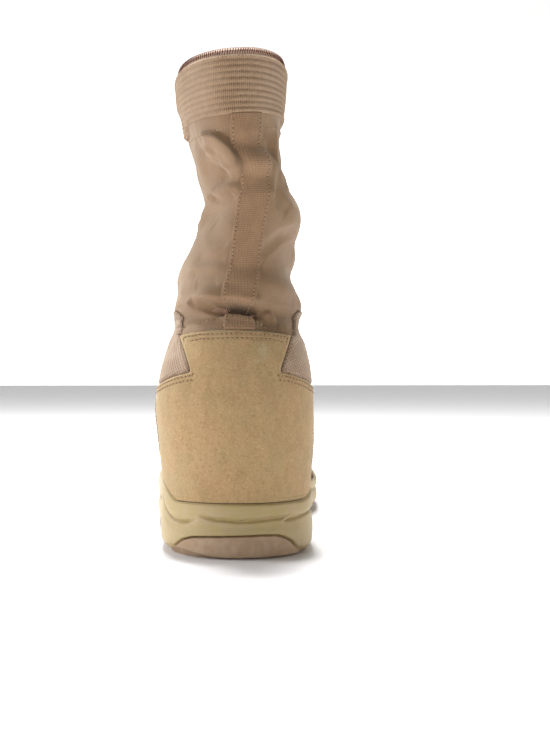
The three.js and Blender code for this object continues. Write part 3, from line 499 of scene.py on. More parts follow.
# kind, half width, height (minus is a trough), then places (s, height above the floor)
CREASES = [
    # the hem under the band, and the bulge beside it that hangs over the strap
    (FLAP, 12.0, 0.8, [(76, 211), (50, 209.5), (34, 207.9), (18, 205.2), (8, 203.8), (-4, 202.9),
                       (-19, 203), (-35, 203.6), (-76, 208), (-110, 210)]),
    (FLAP, 16.0, 4.2, [(-26, 204), (-18.7, 203.2), (-11.7, 201.7), (-7.8, 199.6), (-5, 196.5),
                       (-3, 193.5), (-1.7, 189.5), (-2.2, 185), (-4.2, 181.2), (-7.5, 178)]),
    (RIDGE, 2.4, -0.7, [(-38, 200.4), (-25.5, 195.6), (-17.1, 191.7), (-9, 188.5)]),
    (RIDGE, 4.0, 1.3, [(-28.9, 200.7), (-20.6, 195.3), (-14.9, 190.6), (-10.1, 186.8),
                       (-8.3, 182.6)]),
    (RIDGE, 8.0, 1.2, [(-56.6, 204.7), (-34.2, 192.9), (-32.6, 183.7)]),
    (RIDGE, 5.0, -0.9, [(-12, 186), (-13, 181.5), (-18, 179.5)]),
    # the lower shaft pushed up over it, with a dimple under its lip
    (FLAP, 12.0, 3.4, [(-58, 162.5), (-47, 167.0), (-38, 171.4), (-29.9, 174.8), (-22.2, 177.0),
                       (-14.5, 177.8), (-6.8, 177.6), (-1, 177.0)]),
    (RIDGE, 9.0, 3.0, [(-45, 165.5), (-40, 167), (-34, 168.5), (-22, 169.5), (-8, 170)]),
    (RIDGE, 3.4, -2.0, [(-26, 173.8), (-21, 171.8), (-12, 171.4), (-8, 172.8)]),
    # the ledge across the strap
    (RIDGE, 5.5, -1.3, [(-3, 197), (4, 196.6), (14, 198.5)]),
    (RIDGE, 7.5, 2.8, [(-2, 188.5), (5, 188), (13, 188.6), (20, 189), (25, 186.5), (30, 181)]),
    (RIDGE, 7.0, -1.3, [(-3, 179.5), (5, 179.5), (13, 180)]),
    # the recess and the fold on the inner side, under the band
    (RIDGE, 7.0, -3.2, [(20, 206), (25.5, 203), (27.5, 199), (24, 194)]),
    (RIDGE, 4.5, 1.7, [(36, 208), (36, 202), (34.5, 196), (33, 190), (34, 185), (33, 180)]),
    (RIDGE, 4.5, 1.3, [(20, 186.5), (16, 182), (12.5, 177), (11.5, 172)]),
    (RIDGE, 7.0, -1.4, [(14, 174.8), (18, 171), (25, 165)]),
    # the sides draw in under the band
    (RIDGE, 12.0, -3.0, [(-88, 214), (-78, 213), (-68, 211), (-55, 208), (-40, 205)]),
    (RIDGE, 10.0, 1.3, [(88, 196), (70, 196), (50, 196)]),
    # the inner side bellies out twice, and the outer side less
    (RIDGE, 9.0, 1.6, [(88, 147), (70, 147), (48, 147)]),
    (RIDGE, 8.0, 2.0, [(88, 121), (70, 121), (45, 121)]),
    (RIDGE, 8.0, -1.6, [(-88, 128), (-70, 128), (-50, 128)]),
    # shallow waves half way up
    (RIDGE, 8.0, -1.2, [(-24, 160), (-16, 154), (-6, 149)]),
    (RIDGE, 4.5, -0.9, [(-30, 143.5), (-19, 142.6), (-6, 142.3)]),
    (RIDGE, 5.0, 0.7, [(-38, 138.5), (-19, 138), (-7, 137.5)]),
    (RIDGE, 3.5, -0.6, [(-30, 134.8), (-19, 134.6), (-6, 134.2)]),
    (RIDGE, 5.5, -1.2, [(12, 147.2), (18, 150), (26, 155), (40, 158)]),
    (RIDGE, 6.0, 0.8, [(13, 141), (20, 138), (42, 137)]),
    # the ledge over the ankle, the deep crease under it and the lip on the strap
    (RIDGE, 5.0, -1.1, [(-26, 129), (-17.6, 129.5), (-9, 130.5)]),
    (RIDGE, 6.0, 2.6, [(-56, 119.5), (-40, 120), (-30, 120.2), (-20, 122.3), (-13, 123.5),
                       (-7, 124.5)]),
    (LEDGE, 9.0, 2.8, [(13, 117.2), (8, 118.4), (2, 119.8), (-3, 120.4), (-8, 120.1),
                       (-11.5, 120.2), (-17.5, 121), (-26, 122)]),
    (RIDGE, 3.6, -6.4, [(-26, 120.5), (-17.5, 119.6), (-11.5, 118.6), (-8, 118.4), (-3, 118.6),
                        (2, 118.0), (8, 116.6), (11, 115.4)]),
    (RIDGE, 3.6, 2.0, [(-9, 113.6), (-3.8, 114.4), (2.1, 114), (8.5, 112.6)]),
    (RIDGE, 3.0, 1.9, [(10, 112.8), (13.3, 114.6), (18, 115.4), (21, 113)]),
    (RIDGE, 4.0, -1.6, [(12, 109.5), (18, 109), (24, 110)]),
    # the seam of the padded collar
    (RIDGE, 1.6, -0.8, [(-45, 108.6), (-37, 108.8), (-28.6, 111.1), (-20.4, 112.4),
                        (-13.8, 114.3), (-8, 114.5)]),
    (RIDGE, 1.6, -0.8, [(9, 112.2), (12.2, 110.3), (15.3, 108.8), (20.4, 107.7), (27, 107)]),
]
CREASE_REACH = 90.0
# a ledge drops over this many mm
LEDGE_DROP = 1.6
# painted shade deep in the folds: half width, strength, places
PAINTED_SHADE_LINES = [
    (2.4, 1.0, [(-14, 119.4), (-9, 118.2), (-3, 118.6), (3, 118.0), (9, 116.6), (12, 115.2)]),
    (1.2, 0.55, [(-24, 204), (-12, 201.9), (-8, 199.6), (-5.2, 196.5), (-3.2, 193.5),
                 (-1.9, 189.5), (-2.4, 185)]),
    (2.2, 0.6, [(19, 207), (20, 203), (22, 198.5), (24, 195)]),
    (2.6, 0.45, [(12, 112), (16, 110.5), (21, 110), (25, 112)]),
]
PAINTED_SHADE_REACH = 60.0
print(len(CREASES), "creases and", len(PAINTED_SHADE_LINES), "lines of painted shade")


def smooth_path(points, per_step=6):
    """A curve through the points, as many places between two of them as asked."""
    points = np.asarray(points, float)
    t = np.linspace(0, len(points) - 1, (len(points) - 1) * per_step + 1)
    return np.stack([read_column(points[:, k], t) for k in range(points.shape[1])], 1)


def from_path(path, a, b):
    """Distance to a path, the share of the path there, and the side: left is positive."""
    best, share, side = (np.full(a.shape, w) for w in (np.inf, 0.0, 1.0))
    for k, ((x0, y0), (x1, y1)) in enumerate(zip(path[:-1], path[1:])):
        dx, dy = x1 - x0, y1 - y0
        t = np.clip(((a - x0) * dx + (b - y0) * dy) / (dx * dx + dy * dy + 1e-12), 0, 1)
        away_a, away_b = a - x0 - t * dx, b - y0 - t * dy
        away = np.hypot(away_a, away_b)
        near = away < best
        best = np.where(near, away, best)
        share = np.where(near, (k + t) / (len(path) - 1), share)
        side = np.where(near, np.where(dx * away_b - dy * away_a >= 0, 1.0, -1.0), side)
    return best, share, side


def taper(share, start, end):
    """0 at both ends of a path, 1 past the share start and up to the share end from its end."""
    return ease(0, start, share) * ease(1, 1 - end, share)


def creases(sheet, place, flaps=True):
    """Sum of the crease profiles: a ridge is a hump of the distance to its line. A flap or
    ledge is full height at its line, falls off slowly on its right and drops on its left."""
    total = np.zeros(len(place))
    near = np.abs(sheet["s"]) < CREASE_REACH
    s, z = sheet["s"][near], place[near, 2]
    found = np.zeros(len(s))
    for kind, wide, height, points in CREASES:
        if kind == FLAP and not flaps:
            continue
        away, share, side = from_path(smooth_path(points), s, z)
        fade = taper(share, 0.15, 0.2)
        if kind != RIDGE:
            lip = 1 - ease(0, wide, away)
            step = ease(LEDGE_DROP, 0, away)
            found += height * fade * np.where(side < 0, lip, step)
        else:
            found += height * (0.4 + 0.6 * fade) * hump(np.minimum(1, away / wide))
    total[near] = found
    return total


def painted_shade_marks(sheet, place):
    """Share of painted shade at each corner: full on a fold line, gone at its half width."""
    total = np.zeros(len(place))
    near = np.abs(sheet["s"]) < PAINTED_SHADE_REACH
    s, z = sheet["s"][near], place[near, 2]
    for wide, strength, points in PAINTED_SHADE_LINES:
        away, share, _ = from_path(smooth_path(points), s, z)
        fade = taper(share, 0.12, 0.12)
        total[near] = np.maximum(total[near], strength * fade * hump(np.minimum(1, away / wide)))
    return {"fold": total}


# %% [markdown]
# ## Where the corners go
#
# The camera sees the heel, so the corners stand closer together there. The fine folds of the
# nylon need about one corner a millimetre, and the front of the boot far fewer.

# %% Where rows of corners go
def round_the_boot(count, dense=0.55):
    """Places u from front to front through the back, closer together at the back."""
    t = np.linspace(-1, 1, count + 1)
    return 0.5 * (dense * t + (1 - dense) * t ** 3)


def closed_ring(count, dense=0.55):
    """Places u once round the boot, from the middle of the heel."""
    return np.roll(round_the_boot(count, dense)[:-1], -count // 2)


def in_stretches(*stretches):
    """Places one after the other: each stretch is (from, to, count)."""
    rows = [np.linspace(low, high, count, endpoint=False) for low, high, count in stretches]
    return np.concatenate([*rows, [stretches[-1][1]]])


# %% [markdown]
# ## Throat
#
# The throat is the slit that the tongue closes. Seen from the front it is a narrow strip up
# the middle of the boot, and seen from the side the eyestays follow the front line a little
# behind it. So both are outlines in a plane, and every sheet measures how far inside them it
# lies.

# %% Throat and eyestay strip
FRONT_V = np.linspace(0.3, 1.04, 400)
FRONT_LINE = surface(np.full(400, 0.5), FRONT_V)


def throat_centre(z):
    """Where the front line is at a height, from side to side."""
    return np.interp(z, FRONT_LINE[:, 2], FRONT_LINE[:, 0])


THROAT_BASE = 88.0
THROAT_ROUND = 5.0
THROAT_HALF_BASE = 10.0
THROAT_HALF_TOP = 12.0
HIGH = BOOT_HEIGHT * 1.5


def throat_half(z):
    """Half the throat's width: it widens from its base to the instep, and then stays."""
    return mix(THROAT_HALF_BASE, THROAT_HALF_TOP, ease(THROAT_BASE, INSTEP + HEEL_STACK, z))


def in_throat(place, margin):
    """How far a place lies inside the throat, grown by a margin, seen from the front."""
    x, y, z = place.T
    heights = np.linspace(THROAT_BASE, HIGH, 24)
    half = throat_half(heights) + margin
    centre = throat_centre(heights)
    low = THROAT_BASE - THROAT_ROUND - margin
    foot = 0.6 * (THROAT_HALF_BASE + margin)
    outline = [(centre[0] - foot, low), (centre[0] + foot, low),
               *zip(centre + half, heights), *zip((centre - half)[::-1], heights[::-1])]
    return np.where(y > LAST_LENGTH * 0.25, inside_outline(outline, x, z), -LAST_LENGTH)


EYESTAY_FOOT = 8.0
EYESTAY_DEPTH = 24.0
EYESTAY_SETBACK = 0.8
STRIP_POINTS = 15


def in_eyestay_strip(place, margin):
    """How far a place lies inside the strip behind the front line, seen from the side."""
    lowest = np.interp(THROAT_BASE - EYESTAY_FOOT, FRONT_LINE[:, 2], FRONT_V)
    edge = surface(np.full(STRIP_POINTS, 0.5), np.linspace(lowest, 1, STRIP_POINTS))[:, 1:]
    edge = edge - [EYESTAY_DEPTH + margin, 0]
    far = LAST_LENGTH
    low = edge[0, 1] - margin
    outline = [*edge, (edge[-1, 0], HIGH), (far, HIGH), (far, low), (edge[0, 0], low)]
    return inside_outline(outline, place[:, 1], place[:, 2])


# %% [markdown]
# ## Eyelets
#
# Seven pairs of eyelets sit along the throat. Each keeps the same distance from the throat's
# edge, measured on the surface, so they follow the throat where it leans.

# %% Eyelet places
EYELET_PAIRS = 7
EYELET_BORE = 2.3
EYELET_FLANGE = 0.9
EYELET_INSET = 6.5
EYELET_LOWEST, EYELET_HIGHEST = 0.50, 0.96
EYELET_ROWS = mix(EYELET_LOWEST, EYELET_HIGHEST, np.arange(EYELET_PAIRS) / (EYELET_PAIRS - 1))


def eyelet_place(v, side):
    """Walks from the front line round the ring, past the throat's edge, by the inset."""
    u = 0.5 - side * np.arange(0, 0.25, 0.001)
    place = surface(u, np.full(len(u), v))
    z = place[:, 2]
    outside = np.argmax(np.abs(place[:, 0] - throat_centre(z)) >= throat_half(z))
    walked = np.cumsum(np.linalg.norm(np.diff(place[outside:], axis=0), axis=1))
    return u[outside + 1 + np.argmax(walked >= EYELET_INSET)]


EYELETS = {side: np.array([eyelet_place(v, side) for v in EYELET_ROWS]) for side in (1, -1)}


EYELET_OTHER_SIDE = 50.0


def off_eyelets(place, radius):
    """Distance to the nearest eyelet's axis less the radius. Places more than 12 mm along the
    axis are on the other side of the boot and count as far away."""
    nearest = np.full(len(place), np.inf)
    for side, turns in EYELETS.items():
        middles = surface(turns, EYELET_ROWS)
        axes = outward(turns, EYELET_ROWS)
        for middle, axis in zip(middles, axes):
            deep = (place - middle) @ axis
            off = np.linalg.norm(place - middle - np.outer(deep, axis), axis=1)
            nearest = np.minimum(nearest, off + EYELET_OTHER_SIDE * (np.abs(deep) > 12))
    return nearest - radius


print("eyelet places round the ring:", EYELETS[1].round(3))

# %% [markdown]
# ## The upper and its overlays
#
# From here each piece is one outline on the last: the nylon shell, its lining, the suede
# counter, the toe cap, the elastic band, the strap, the ankle panels and the eyestays.

# %% Outlines
LINING_EDGE = 1.7
LINING_SHOWS = 5.3
LINING_SHORT = 0.4
BAND_HEIGHT = 29.4
BAND_TILT = 0.01
BAND_RISE = 6.0
BAND_RISE_END = 60.0
BAND_EDGE = BOOT_HEIGHT - BAND_HEIGHT - LINING_EDGE
COLLAR_MIDDLE = SECTIONS[-1][-1] * COLLAR_BREADTH
COUNTER_TOP = 107.0
COUNTER_CROWN = 0.6
COUNTER_NOTCH = 88.5
NOTCH_REACH = 8.0
STEP_DROP = 11.0
STEP_REACH = 60.0
COUNTER_FRONT_TOP = 74.0
COUNTER_REACH = 104.0
COUNTER_RAKE = 8.0
EAR_HALF_LOW = 21.0
EAR_HALF_TOP = 26.5
EAR_DROP = 2.2
PANEL_TOP = 118.0
PANEL_BACK = 25.0
PANEL_SLANT = 22.0
PANEL_FRONT_RISE = 16.0
PANEL_OVERHANG = 5.0
TOE_CAP_LENGTH = 62.0
TOE_CAP_RAKE = 10.0
BEYOND = 26.0


def counter_field(sheet, place, margin=0.0):
    """Inside the stepped side outline, or inside the ears as seen from behind."""
    x, y, z = place.T
    side = [(-BEYOND, -BEYOND), (COUNTER_REACH + COUNTER_RAKE, -BEYOND),
            (COUNTER_REACH, COUNTER_FRONT_TOP - COUNTER_RAKE),
            (COUNTER_REACH - COUNTER_RAKE, COUNTER_FRONT_TOP + margin),
            (STEP_REACH, COUNTER_NOTCH - STEP_DROP + margin),
            (3 * NOTCH_REACH, COUNTER_NOTCH - 0.6 * STEP_DROP + margin),
            (NOTCH_REACH, COUNTER_NOTCH - 0.15 * STEP_DROP + margin),
            (0, COUNTER_NOTCH + margin), (-BEYOND, COUNTER_NOTCH + margin)]
    low, high = EAR_HALF_LOW + margin, EAR_HALF_TOP + margin
    top, base = COUNTER_TOP + margin, COUNTER_NOTCH - STEP_DROP - 20
    ears = [(-low, base), (low, base), (low, COUNTER_NOTCH), (high, top - EAR_DROP),
            (high * 0.6, top - COUNTER_CROWN), (0, top), (-high * 0.6, top - COUNTER_CROWN),
            (-high, top - EAR_DROP), (-low, COUNTER_NOTCH)]
    behind = np.where(y < COUNTER_REACH / 2, inside_outline(ears, x, z), -LAST_LENGTH)
    return np.maximum(inside_outline(side, y, z), behind)


def above_feather(sheet):
    """Height above the feather line, as the share v of the shaft's height."""
    return sheet["v"] * SHAFT_HEIGHT


def below_rim(sheet, drop=0.0):
    """Height below a line that runs the given drop under the rim."""
    return (1 - sheet["v"]) * SHAFT_HEIGHT - drop


def upper_field(sheet, place):
    """The whole last less the throat and the eyelets, and a little short of the rim."""
    rim = below_rim(sheet, LINING_EDGE)
    return np.minimum.reduce([above_feather(sheet), rim, -in_throat(place, 0),
                              off_eyelets(place, EYELET_BORE + FIT_GAP)])


def lining_field(sheet, place):
    """As the upper, but up to the rim and a little short of the throat's edge."""
    rim = below_rim(sheet)
    return np.minimum.reduce([above_feather(sheet), rim, -in_throat(place, LINING_SHORT),
                              off_eyelets(place, EYELET_BORE + FIT_GAP)])


def heel_counter_field(sheet, place):
    """The counter's outline, above the feather line."""
    return np.minimum(above_feather(sheet), counter_field(sheet, place))


def toe_cap_field(sheet, place):
    """In front of a slanted line, seen from the side, and clear of the eyestays."""
    edge = LAST_LENGTH - TOE_CAP_LENGTH
    tip = LAST_LENGTH + BEYOND
    outline = [(edge - TOE_CAP_RAKE, -BEYOND), (tip, -BEYOND), (tip, HIGH / 2),
               (edge + TOE_CAP_RAKE / 2, HIGH / 2)]
    return np.minimum.reduce([above_feather(sheet), -in_eyestay_strip(place, 2 * FIT_GAP),
                              inside_outline(outline, place[:, 1], place[:, 2])])


def above_band_edge(place):
    """Height above the band's lower edge, which tilts with the rim and rises to the sides."""
    x, y, z = place.T
    rise = BAND_RISE * np.clip(y / BAND_RISE_END, 0, 1)
    return z - (RIM_TILT + BAND_TILT) * (x - COLLAR_MIDDLE) - BAND_EDGE - rise


def collar_band_field(sheet, place):
    """Between the band's two edges, and clear of the eyestays."""
    rim = below_rim(sheet, LINING_SHOWS)
    return np.minimum.reduce([above_band_edge(place), rim,
                              -in_eyestay_strip(place, 2 * FIT_GAP)])


def eyestay_field(side):
    """One side's strip beside the throat. The two meet in a seam under the throat's base."""
    def field(sheet, place):
        seam = side * (place[:, 0] - throat_centre(THROAT_BASE)) - FIT_GAP / 2
        seam = np.where(place[:, 1] > 60, seam, side * (place[:, 0] - 2.0))
        rim = below_rim(sheet, LINING_EDGE)
        return np.minimum.reduce([in_eyestay_strip(place, 0), seam, rim,
                                  -in_throat(place, EYESTAY_SETBACK),
                                  off_eyelets(place, EYELET_BORE)])
    return field


def ankle_panel_field(side):
    """One side's panel: a rounded outline seen from the side, less the counter that laps it."""
    front = COUNTER_REACH + PANEL_OVERHANG
    top = smooth_path([(front - COUNTER_RAKE / 2, COUNTER_FRONT_TOP),
                       (front, COUNTER_FRONT_TOP + PANEL_FRONT_RISE),
                       (front - PANEL_FRONT_RISE, PANEL_TOP - 2 * COUNTER_RAKE),
                       (STEP_REACH + PANEL_BACK, PANEL_TOP - COUNTER_RAKE / 2),
                       (PANEL_BACK + PANEL_SLANT, PANEL_TOP),
                       (PANEL_BACK, COUNTER_TOP - EAR_DROP)])
    outline = [(-BEYOND, COUNTER_NOTCH - STEP_DROP),
               (COUNTER_REACH - COUNTER_RAKE, COUNTER_FRONT_TOP - STEP_DROP / 2),
               *map(tuple, top), (-BEYOND, COUNTER_TOP - EAR_DROP - 1)]

    def field(sheet, place):
        x, y, z = place.T
        return np.minimum.reduce([inside_outline(outline, y, z), side * x,
                                  -counter_field(sheet, place, 2 * FIT_GAP)])
    return field


# up (share of the way from counter to band), middle (share of the collar's breadth)
STRAP_LINE = [(0.000, 0.036), (0.126, 0.026), (0.300, 0.071), (0.464, 0.112), (0.600, 0.156),
              (0.705, 0.179), (0.800, 0.129), (0.880, 0.092), (1.000, 0.089)]
STRAP_WIDTH = 14.6


def back_strap_field(sheet, place):
    """Half the width less the distance to the strap's middle line, seen from behind."""
    x, y, z = place.T
    low, high = COUNTER_TOP + FIT_GAP, BAND_EDGE - FIT_GAP
    line = smooth_path(STRAP_LINE)
    middle = np.interp((z - low) / (high - low), line[:, 0], line[:, 1]) * COLLAR_BREADTH
    half = STRAP_WIDTH / 2 - np.abs(x - middle)
    half = np.where(y < LAST_LENGTH * 0.2, half, -LAST_LENGTH)
    return np.minimum.reduce([half, z - low, FIT_GAP - above_band_edge(place)])


TONGUE_TOP, TONGUE_ASIDE, TONGUE_FOOT = 7.0, 6.0, 0.34


def tongue_field(sheet, place):
    """The throat grown to both sides, from a share of the height to a little over the rim."""
    return np.minimum.reduce([in_throat(place, TONGUE_ASIDE), below_rim(sheet, -TONGUE_TOP),
                              (sheet["v"] - TONGUE_FOOT) * SHAFT_HEIGHT])


# %% [markdown]
# ## Cloth, suede, foam and rubber
#
# Each material is a few layers of procedural noise on the object's own coordinates, or
# threads drawn on the sheet's flat coordinates: s, the way round, and z, the height, in
# metres. What is smaller than half a millimetre is left to bump.

# %% Tools for materials
# The colours below are as they look in the studio. Paint is this share of them.
PAINT = 0.72


class Surface:
    """A principled shader and short ways to feed it."""

    def __init__(self, name, roughness, specular=0.3, sheen=0.0, sheen_colour=(1, 0.9, 0.75)):
        self.material = bpy.data.materials.new(name)
        self.material.use_nodes = True
        self.tree = self.material.node_tree
        self.shader = self.tree.nodes["Principled BSDF"]
        self.set("Roughness", roughness)
        self.set("Specular IOR Level", specular)
        self.set("Sheen Weight", sheen)
        self.set("Sheen Roughness", 0.5)
        self.set("Sheen Tint", (*sheen_colour, 1))
        self.object = self.node("ShaderNodeTexCoord").outputs["Object"]
        self.sheet = self.node("ShaderNodeUVMap", uv_map="sheet").outputs["UV"]
        self.bumps = None

    def set(self, socket, value):
        """One plain value of the shader."""
        self.shader.inputs[socket].default_value = value

    def node(self, kind, inputs=None, **settings):
        """A node with its settings, and its inputs as values or as sockets to link."""
        made = self.tree.nodes.new(kind)
        for key, value in settings.items():
            setattr(made, key, value)
        for key, value in (inputs or {}).items():
            if isinstance(value, bpy.types.NodeSocket):
                self.tree.links.new(value, made.inputs[key])
            else:
                made.inputs[key].default_value = value
        return made

    def noise(self, size, detail=2.0, stretch=(1, 1, 1), rough=0.5):
        """Noise with features of about the given size in mm, from 0 to 1."""
        scale = tuple(1 / (s * size * MM) for s in stretch)
        place = self.node("ShaderNodeMapping", {"Vector": self.object, "Scale": scale})
        return self.node("ShaderNodeTexNoise", {"Vector": place.outputs[0], "Scale": 1.0,
                                                "Detail": detail, "Roughness": rough}
                         ).outputs["Fac"]

    def attribute(self, name):
        """A value that the sheet carries at its corners."""
        return self.node("ShaderNodeAttribute", attribute_name=name).outputs["Fac"]

    def math(self, operation, a, b=0.0):
        """One sum, product or function of values or sockets."""
        return self.node("ShaderNodeMath", {0: a, 1: b}, operation=operation).outputs[0]

    def span(self, value, low, high, to_low=0.0, to_high=1.0, smooth=True):
        """The value's place between low and high, as a number from to_low to to_high."""
        return self.node("ShaderNodeMapRange",
                         {"Value": value, "From Min": low, "From Max": high,
                          "To Min": to_low, "To Max": to_high},
                         interpolation_type="SMOOTHSTEP" if smooth else "LINEAR").outputs[0]

    def threads(self, pitch, angle=0.0):
        """Parallel threads on the sheet, 1 on a thread and 0 between, level at angle 0."""
        turned = self.node("ShaderNodeMapping", {"Vector": self.sheet,
                                                 "Rotation": (0, 0, angle)}).outputs[0]
        parts = self.node("ShaderNodeSeparateXYZ", {0: turned})
        wave = self.math("SINE", self.math("MULTIPLY", parts.outputs["Y"],
                                           2 * np.pi / (pitch * MM)))
        return self.span(wave, -1.0, 1.0, smooth=False)

    def tint(self, colour, other, share):
        """Blends two colours (or a colour socket) by a share from 0 to 1."""
        made = self.node("ShaderNodeMix", {"Factor": share}, data_type="RGBA")
        for socket, value in ((made.inputs[6], colour), (made.inputs[7], other)):
            if isinstance(value, bpy.types.NodeSocket):
                self.tree.links.new(value, socket)
            else:
                socket.default_value = (*(PAINT * part for part in value), 1)
        return made.outputs[2]

    def colour(self, value):
        """Sends a colour socket to the shader."""
        self.tree.links.new(value, self.shader.inputs["Base Color"])

    def bump(self, height, depth):
        """Adds a bump of the given depth in mm to those before it."""
        inputs = {"Height": height, "Distance": depth * MM, "Strength": 1.0}
        if self.bumps is not None:
            inputs["Normal"] = self.bumps
        self.bumps = self.node("ShaderNodeBump", inputs).outputs[0]
        self.tree.links.new(self.bumps, self.shader.inputs["Normal"])


def woven(name, colour, other, warp, weft, depth, sheen, roughness=0.75, mottle=0.4):
    """Two sets of threads across each other, a slow blotchy change of colour and painted shade in
    the folds.
    """
    cloth = Surface(name, roughness, 0.25, sheen)
    up, level = cloth.threads(warp, np.pi / 2), cloth.threads(weft)
    weave = cloth.math("MULTIPLY", up, level)
    blotch = cloth.math("ADD", cloth.noise(22, 3), cloth.noise(5, 3))
    blotch = cloth.span(blotch, 0.75, 1.25)
    shade = cloth.tint(colour, other, cloth.math("MULTIPLY", blotch, mottle))
    shade = cloth.tint(shade, tuple(c * 0.72 for c in colour),
                       cloth.span(weave, 0.3, 0.0, 0.0, 0.45))
    # painted shade: darker along the fold lines that the sheet carries
    shade = cloth.tint(shade, PAINTED_SHADE_COLOUR, cloth.math("MULTIPLY", cloth.attribute("fold"), 0.85))
    shade = cloth.tint(shade, EDGING, cloth.attribute("bound"))
    cloth.colour(shade)
    cloth.bump(weave, depth)
    cloth.bump(cloth.noise(3.0, 2), 0.10)
    return cloth


# %% [markdown]
# ## Woven cloths
#
# The shaft is a fine flat weave and the strap a coarser one. The elastic has level ribs with
# upright threads across the grooves, and the ankle panels are an open mesh whose ribs lie
# aslant. A thread is finer than the corners of the sheet, so threads are colour and bump.

# %% Nylon, webbing, elastic and mesh
def nylon_material():
    """Fine nylon with a soft sheen, made darker towards the folds by painted shade."""
    cloth = woven("shaft_nylon", NYLON, NYLON_DARK, 0.9, 0.9, 0.06, 0.15, 0.6)
    cloth.bump(cloth.noise(9.0, 2, (1.0, 1.0, 0.5)), 0.22)
    return cloth.material


def webbing_material():
    """Coarse yarn that crosses level and upright."""
    return woven("webbing", WEBBING_TAN, WEBBING_DARK, 1.3, 0.9, 0.22, 0.25, 0.8, 0.6).material


def elastic_material():
    """Level ribs are in the mesh. Here upright threads cross the grooves between them, in painted
    shade.
    """
    cloth = Surface("ribbed_elastic", 0.8, 0.2, 0.3)
    across = cloth.threads(0.9, np.pi / 2)
    groove = cloth.attribute("groove")
    blotch = cloth.span(cloth.math("ADD", cloth.noise(14, 3), cloth.noise(3, 2)), 0.75, 1.25)
    shade = cloth.tint(ELASTIC_TAN, ELASTIC_LIGHT, blotch)
    patchy = cloth.span(cloth.noise(2.4, 2), 0.35, 0.65, 0.5, 1.15)
    gap = cloth.math("MULTIPLY", cloth.span(across, 0.7, 0.15), patchy)
    # painted shade in the grooves, darkest in the gaps between the upright threads
    dark = cloth.math("MULTIPLY", cloth.math("ADD", cloth.math("MULTIPLY", gap, 0.75), 0.16),
                      groove)
    shade = cloth.tint(shade, ELASTIC_DARK, dark)
    cloth.colour(shade)
    cloth.bump(across, 0.25)
    cloth.bump(cloth.noise(0.8, 2), 0.08)
    return cloth.material


def mesh_material():
    """Coarse mesh with slanted ribs, open and darker between them."""
    cloth = Surface("ankle_mesh", 0.7, 0.25, 0.25)
    ribs = cloth.threads(1.5, np.radians(58))
    cross = cloth.threads(1.3, np.radians(-20))
    blotch = cloth.span(cloth.noise(9, 3), 0.35, 0.65)
    shade = cloth.tint(MESH_TAN, MESH_LIGHT, blotch)
    gaps = cloth.math("MULTIPLY", cloth.span(ribs, 0.55, 0.15), cloth.span(cross, 1.1, 0.2))
    cloth.colour(cloth.tint(shade, MESH_DARK, cloth.math("MULTIPLY", gaps, 0.5)))
    cloth.bump(ribs, 0.28)
    cloth.bump(cross, 0.12)
    return cloth.material


def lining_material():
    """Brown knit: stitches in columns."""
    cloth = woven("lining_cloth", LINING_RUST, LINING_DARK, 1.6, 1.1, 0.3, 0.3, 0.9, 0.8)
    return cloth.material


# %% [markdown]
# ## Suede
#
# Suede is hide rubbed up to a nap. The nap lies this way and that, which gives soft light and
# dark patches, and its fibres catch the light as pale specks. A stain and a scuff are placed
# by values that the counter carries.

# %% Suede of the counter, the toe and the eyestays
def suede_material():
    """Rough suede: a nap that lies this way and that, so light and dark patches, pale worn
    grain in small specks, a pale stain and a scuff on the counter."""
    hide = Surface("suede", 0.95, 0.08, 0.35, (1.0, 0.92, 0.75))
    patches = hide.span(hide.math("ADD", hide.noise(26, 3), hide.noise(9, 3)), 0.78, 1.22)
    shade = hide.tint(SUEDE_TAN, SUEDE_GREEN, patches)
    warm = hide.span(hide.noise(14, 4, (1, 1, 0.7)), 0.46, 0.66)
    shade = hide.tint(shade, SUEDE_WARM, hide.math("MULTIPLY", warm, 0.3))
    specks = hide.span(hide.noise(0.9, 3), 0.5, 0.7)
    shade = hide.tint(shade, SUEDE_PALE, hide.math("MULTIPLY", specks, 0.36))
    rubbed = hide.span(hide.noise(4.5, 4, (1, 1, 2.2)), 0.52, 0.36)
    shade = hide.tint(shade, SUEDE_DARK, hide.math("MULTIPLY", rubbed, 0.16))
    pits = hide.span(hide.noise(1.4, 3), 0.47, 0.32)
    shade = hide.tint(shade, SUEDE_DARK, hide.math("MULTIPLY", pits, 0.35))
    for mark, strength in (("stain", 0.75), ("scuff", 0.8)):
        share = hide.math("MULTIPLY", hide.attribute(mark), strength)
        shade = hide.tint(shade, SUEDE_STAIN, hide.math("MULTIPLY", share,
                                                        hide.span(specks, 0, 1, 0.5, 1)))
    worn = hide.span(hide.attribute("edge"), 0.9, 0.1)
    shade = hide.tint(shade, SUEDE_PALE, hide.math("MULTIPLY", worn, 0.35))
    hide.colour(shade)
    hide.bump(hide.noise(1.3, 3, rough=0.7), 0.30)
    hide.bump(hide.noise(6.0, 2), 0.35)
    return hide.material


# %% [markdown]
# ## Foam, rubber, cord and metal
#
# A moulded sole has no fibres: its skin is smooth, with drag marks and dust. Rubber is matt
# and paler where it rubs. The lace is a braid whose strands wind both ways round it, thread
# is dark in spots, and the paint of an eyelet rubs off at the rim.

# %% Foam, rubber, lace and brass
def foam_material():
    """Moulded foam: smooth skin with faint upright drag marks and dust in patches."""
    foam = Surface("midsole_foam", 0.5, 0.4)
    drag = foam.noise(0.9, 3, (14, 14, 1))
    dust = foam.span(foam.math("ADD", foam.noise(18, 4), foam.noise(4, 3)), 0.8, 1.3)
    shade = foam.tint(FOAM_TAN, FOAM_OLIVE, foam.span(drag, 0.35, 0.65, 0.0, 0.6))
    shade = foam.tint(shade, FOAM_DUST, foam.math("MULTIPLY", dust, 0.6))
    foam.colour(shade)
    foam.bump(drag, 0.10)
    foam.bump(foam.noise(0.9, 2), 0.05)
    return foam.material


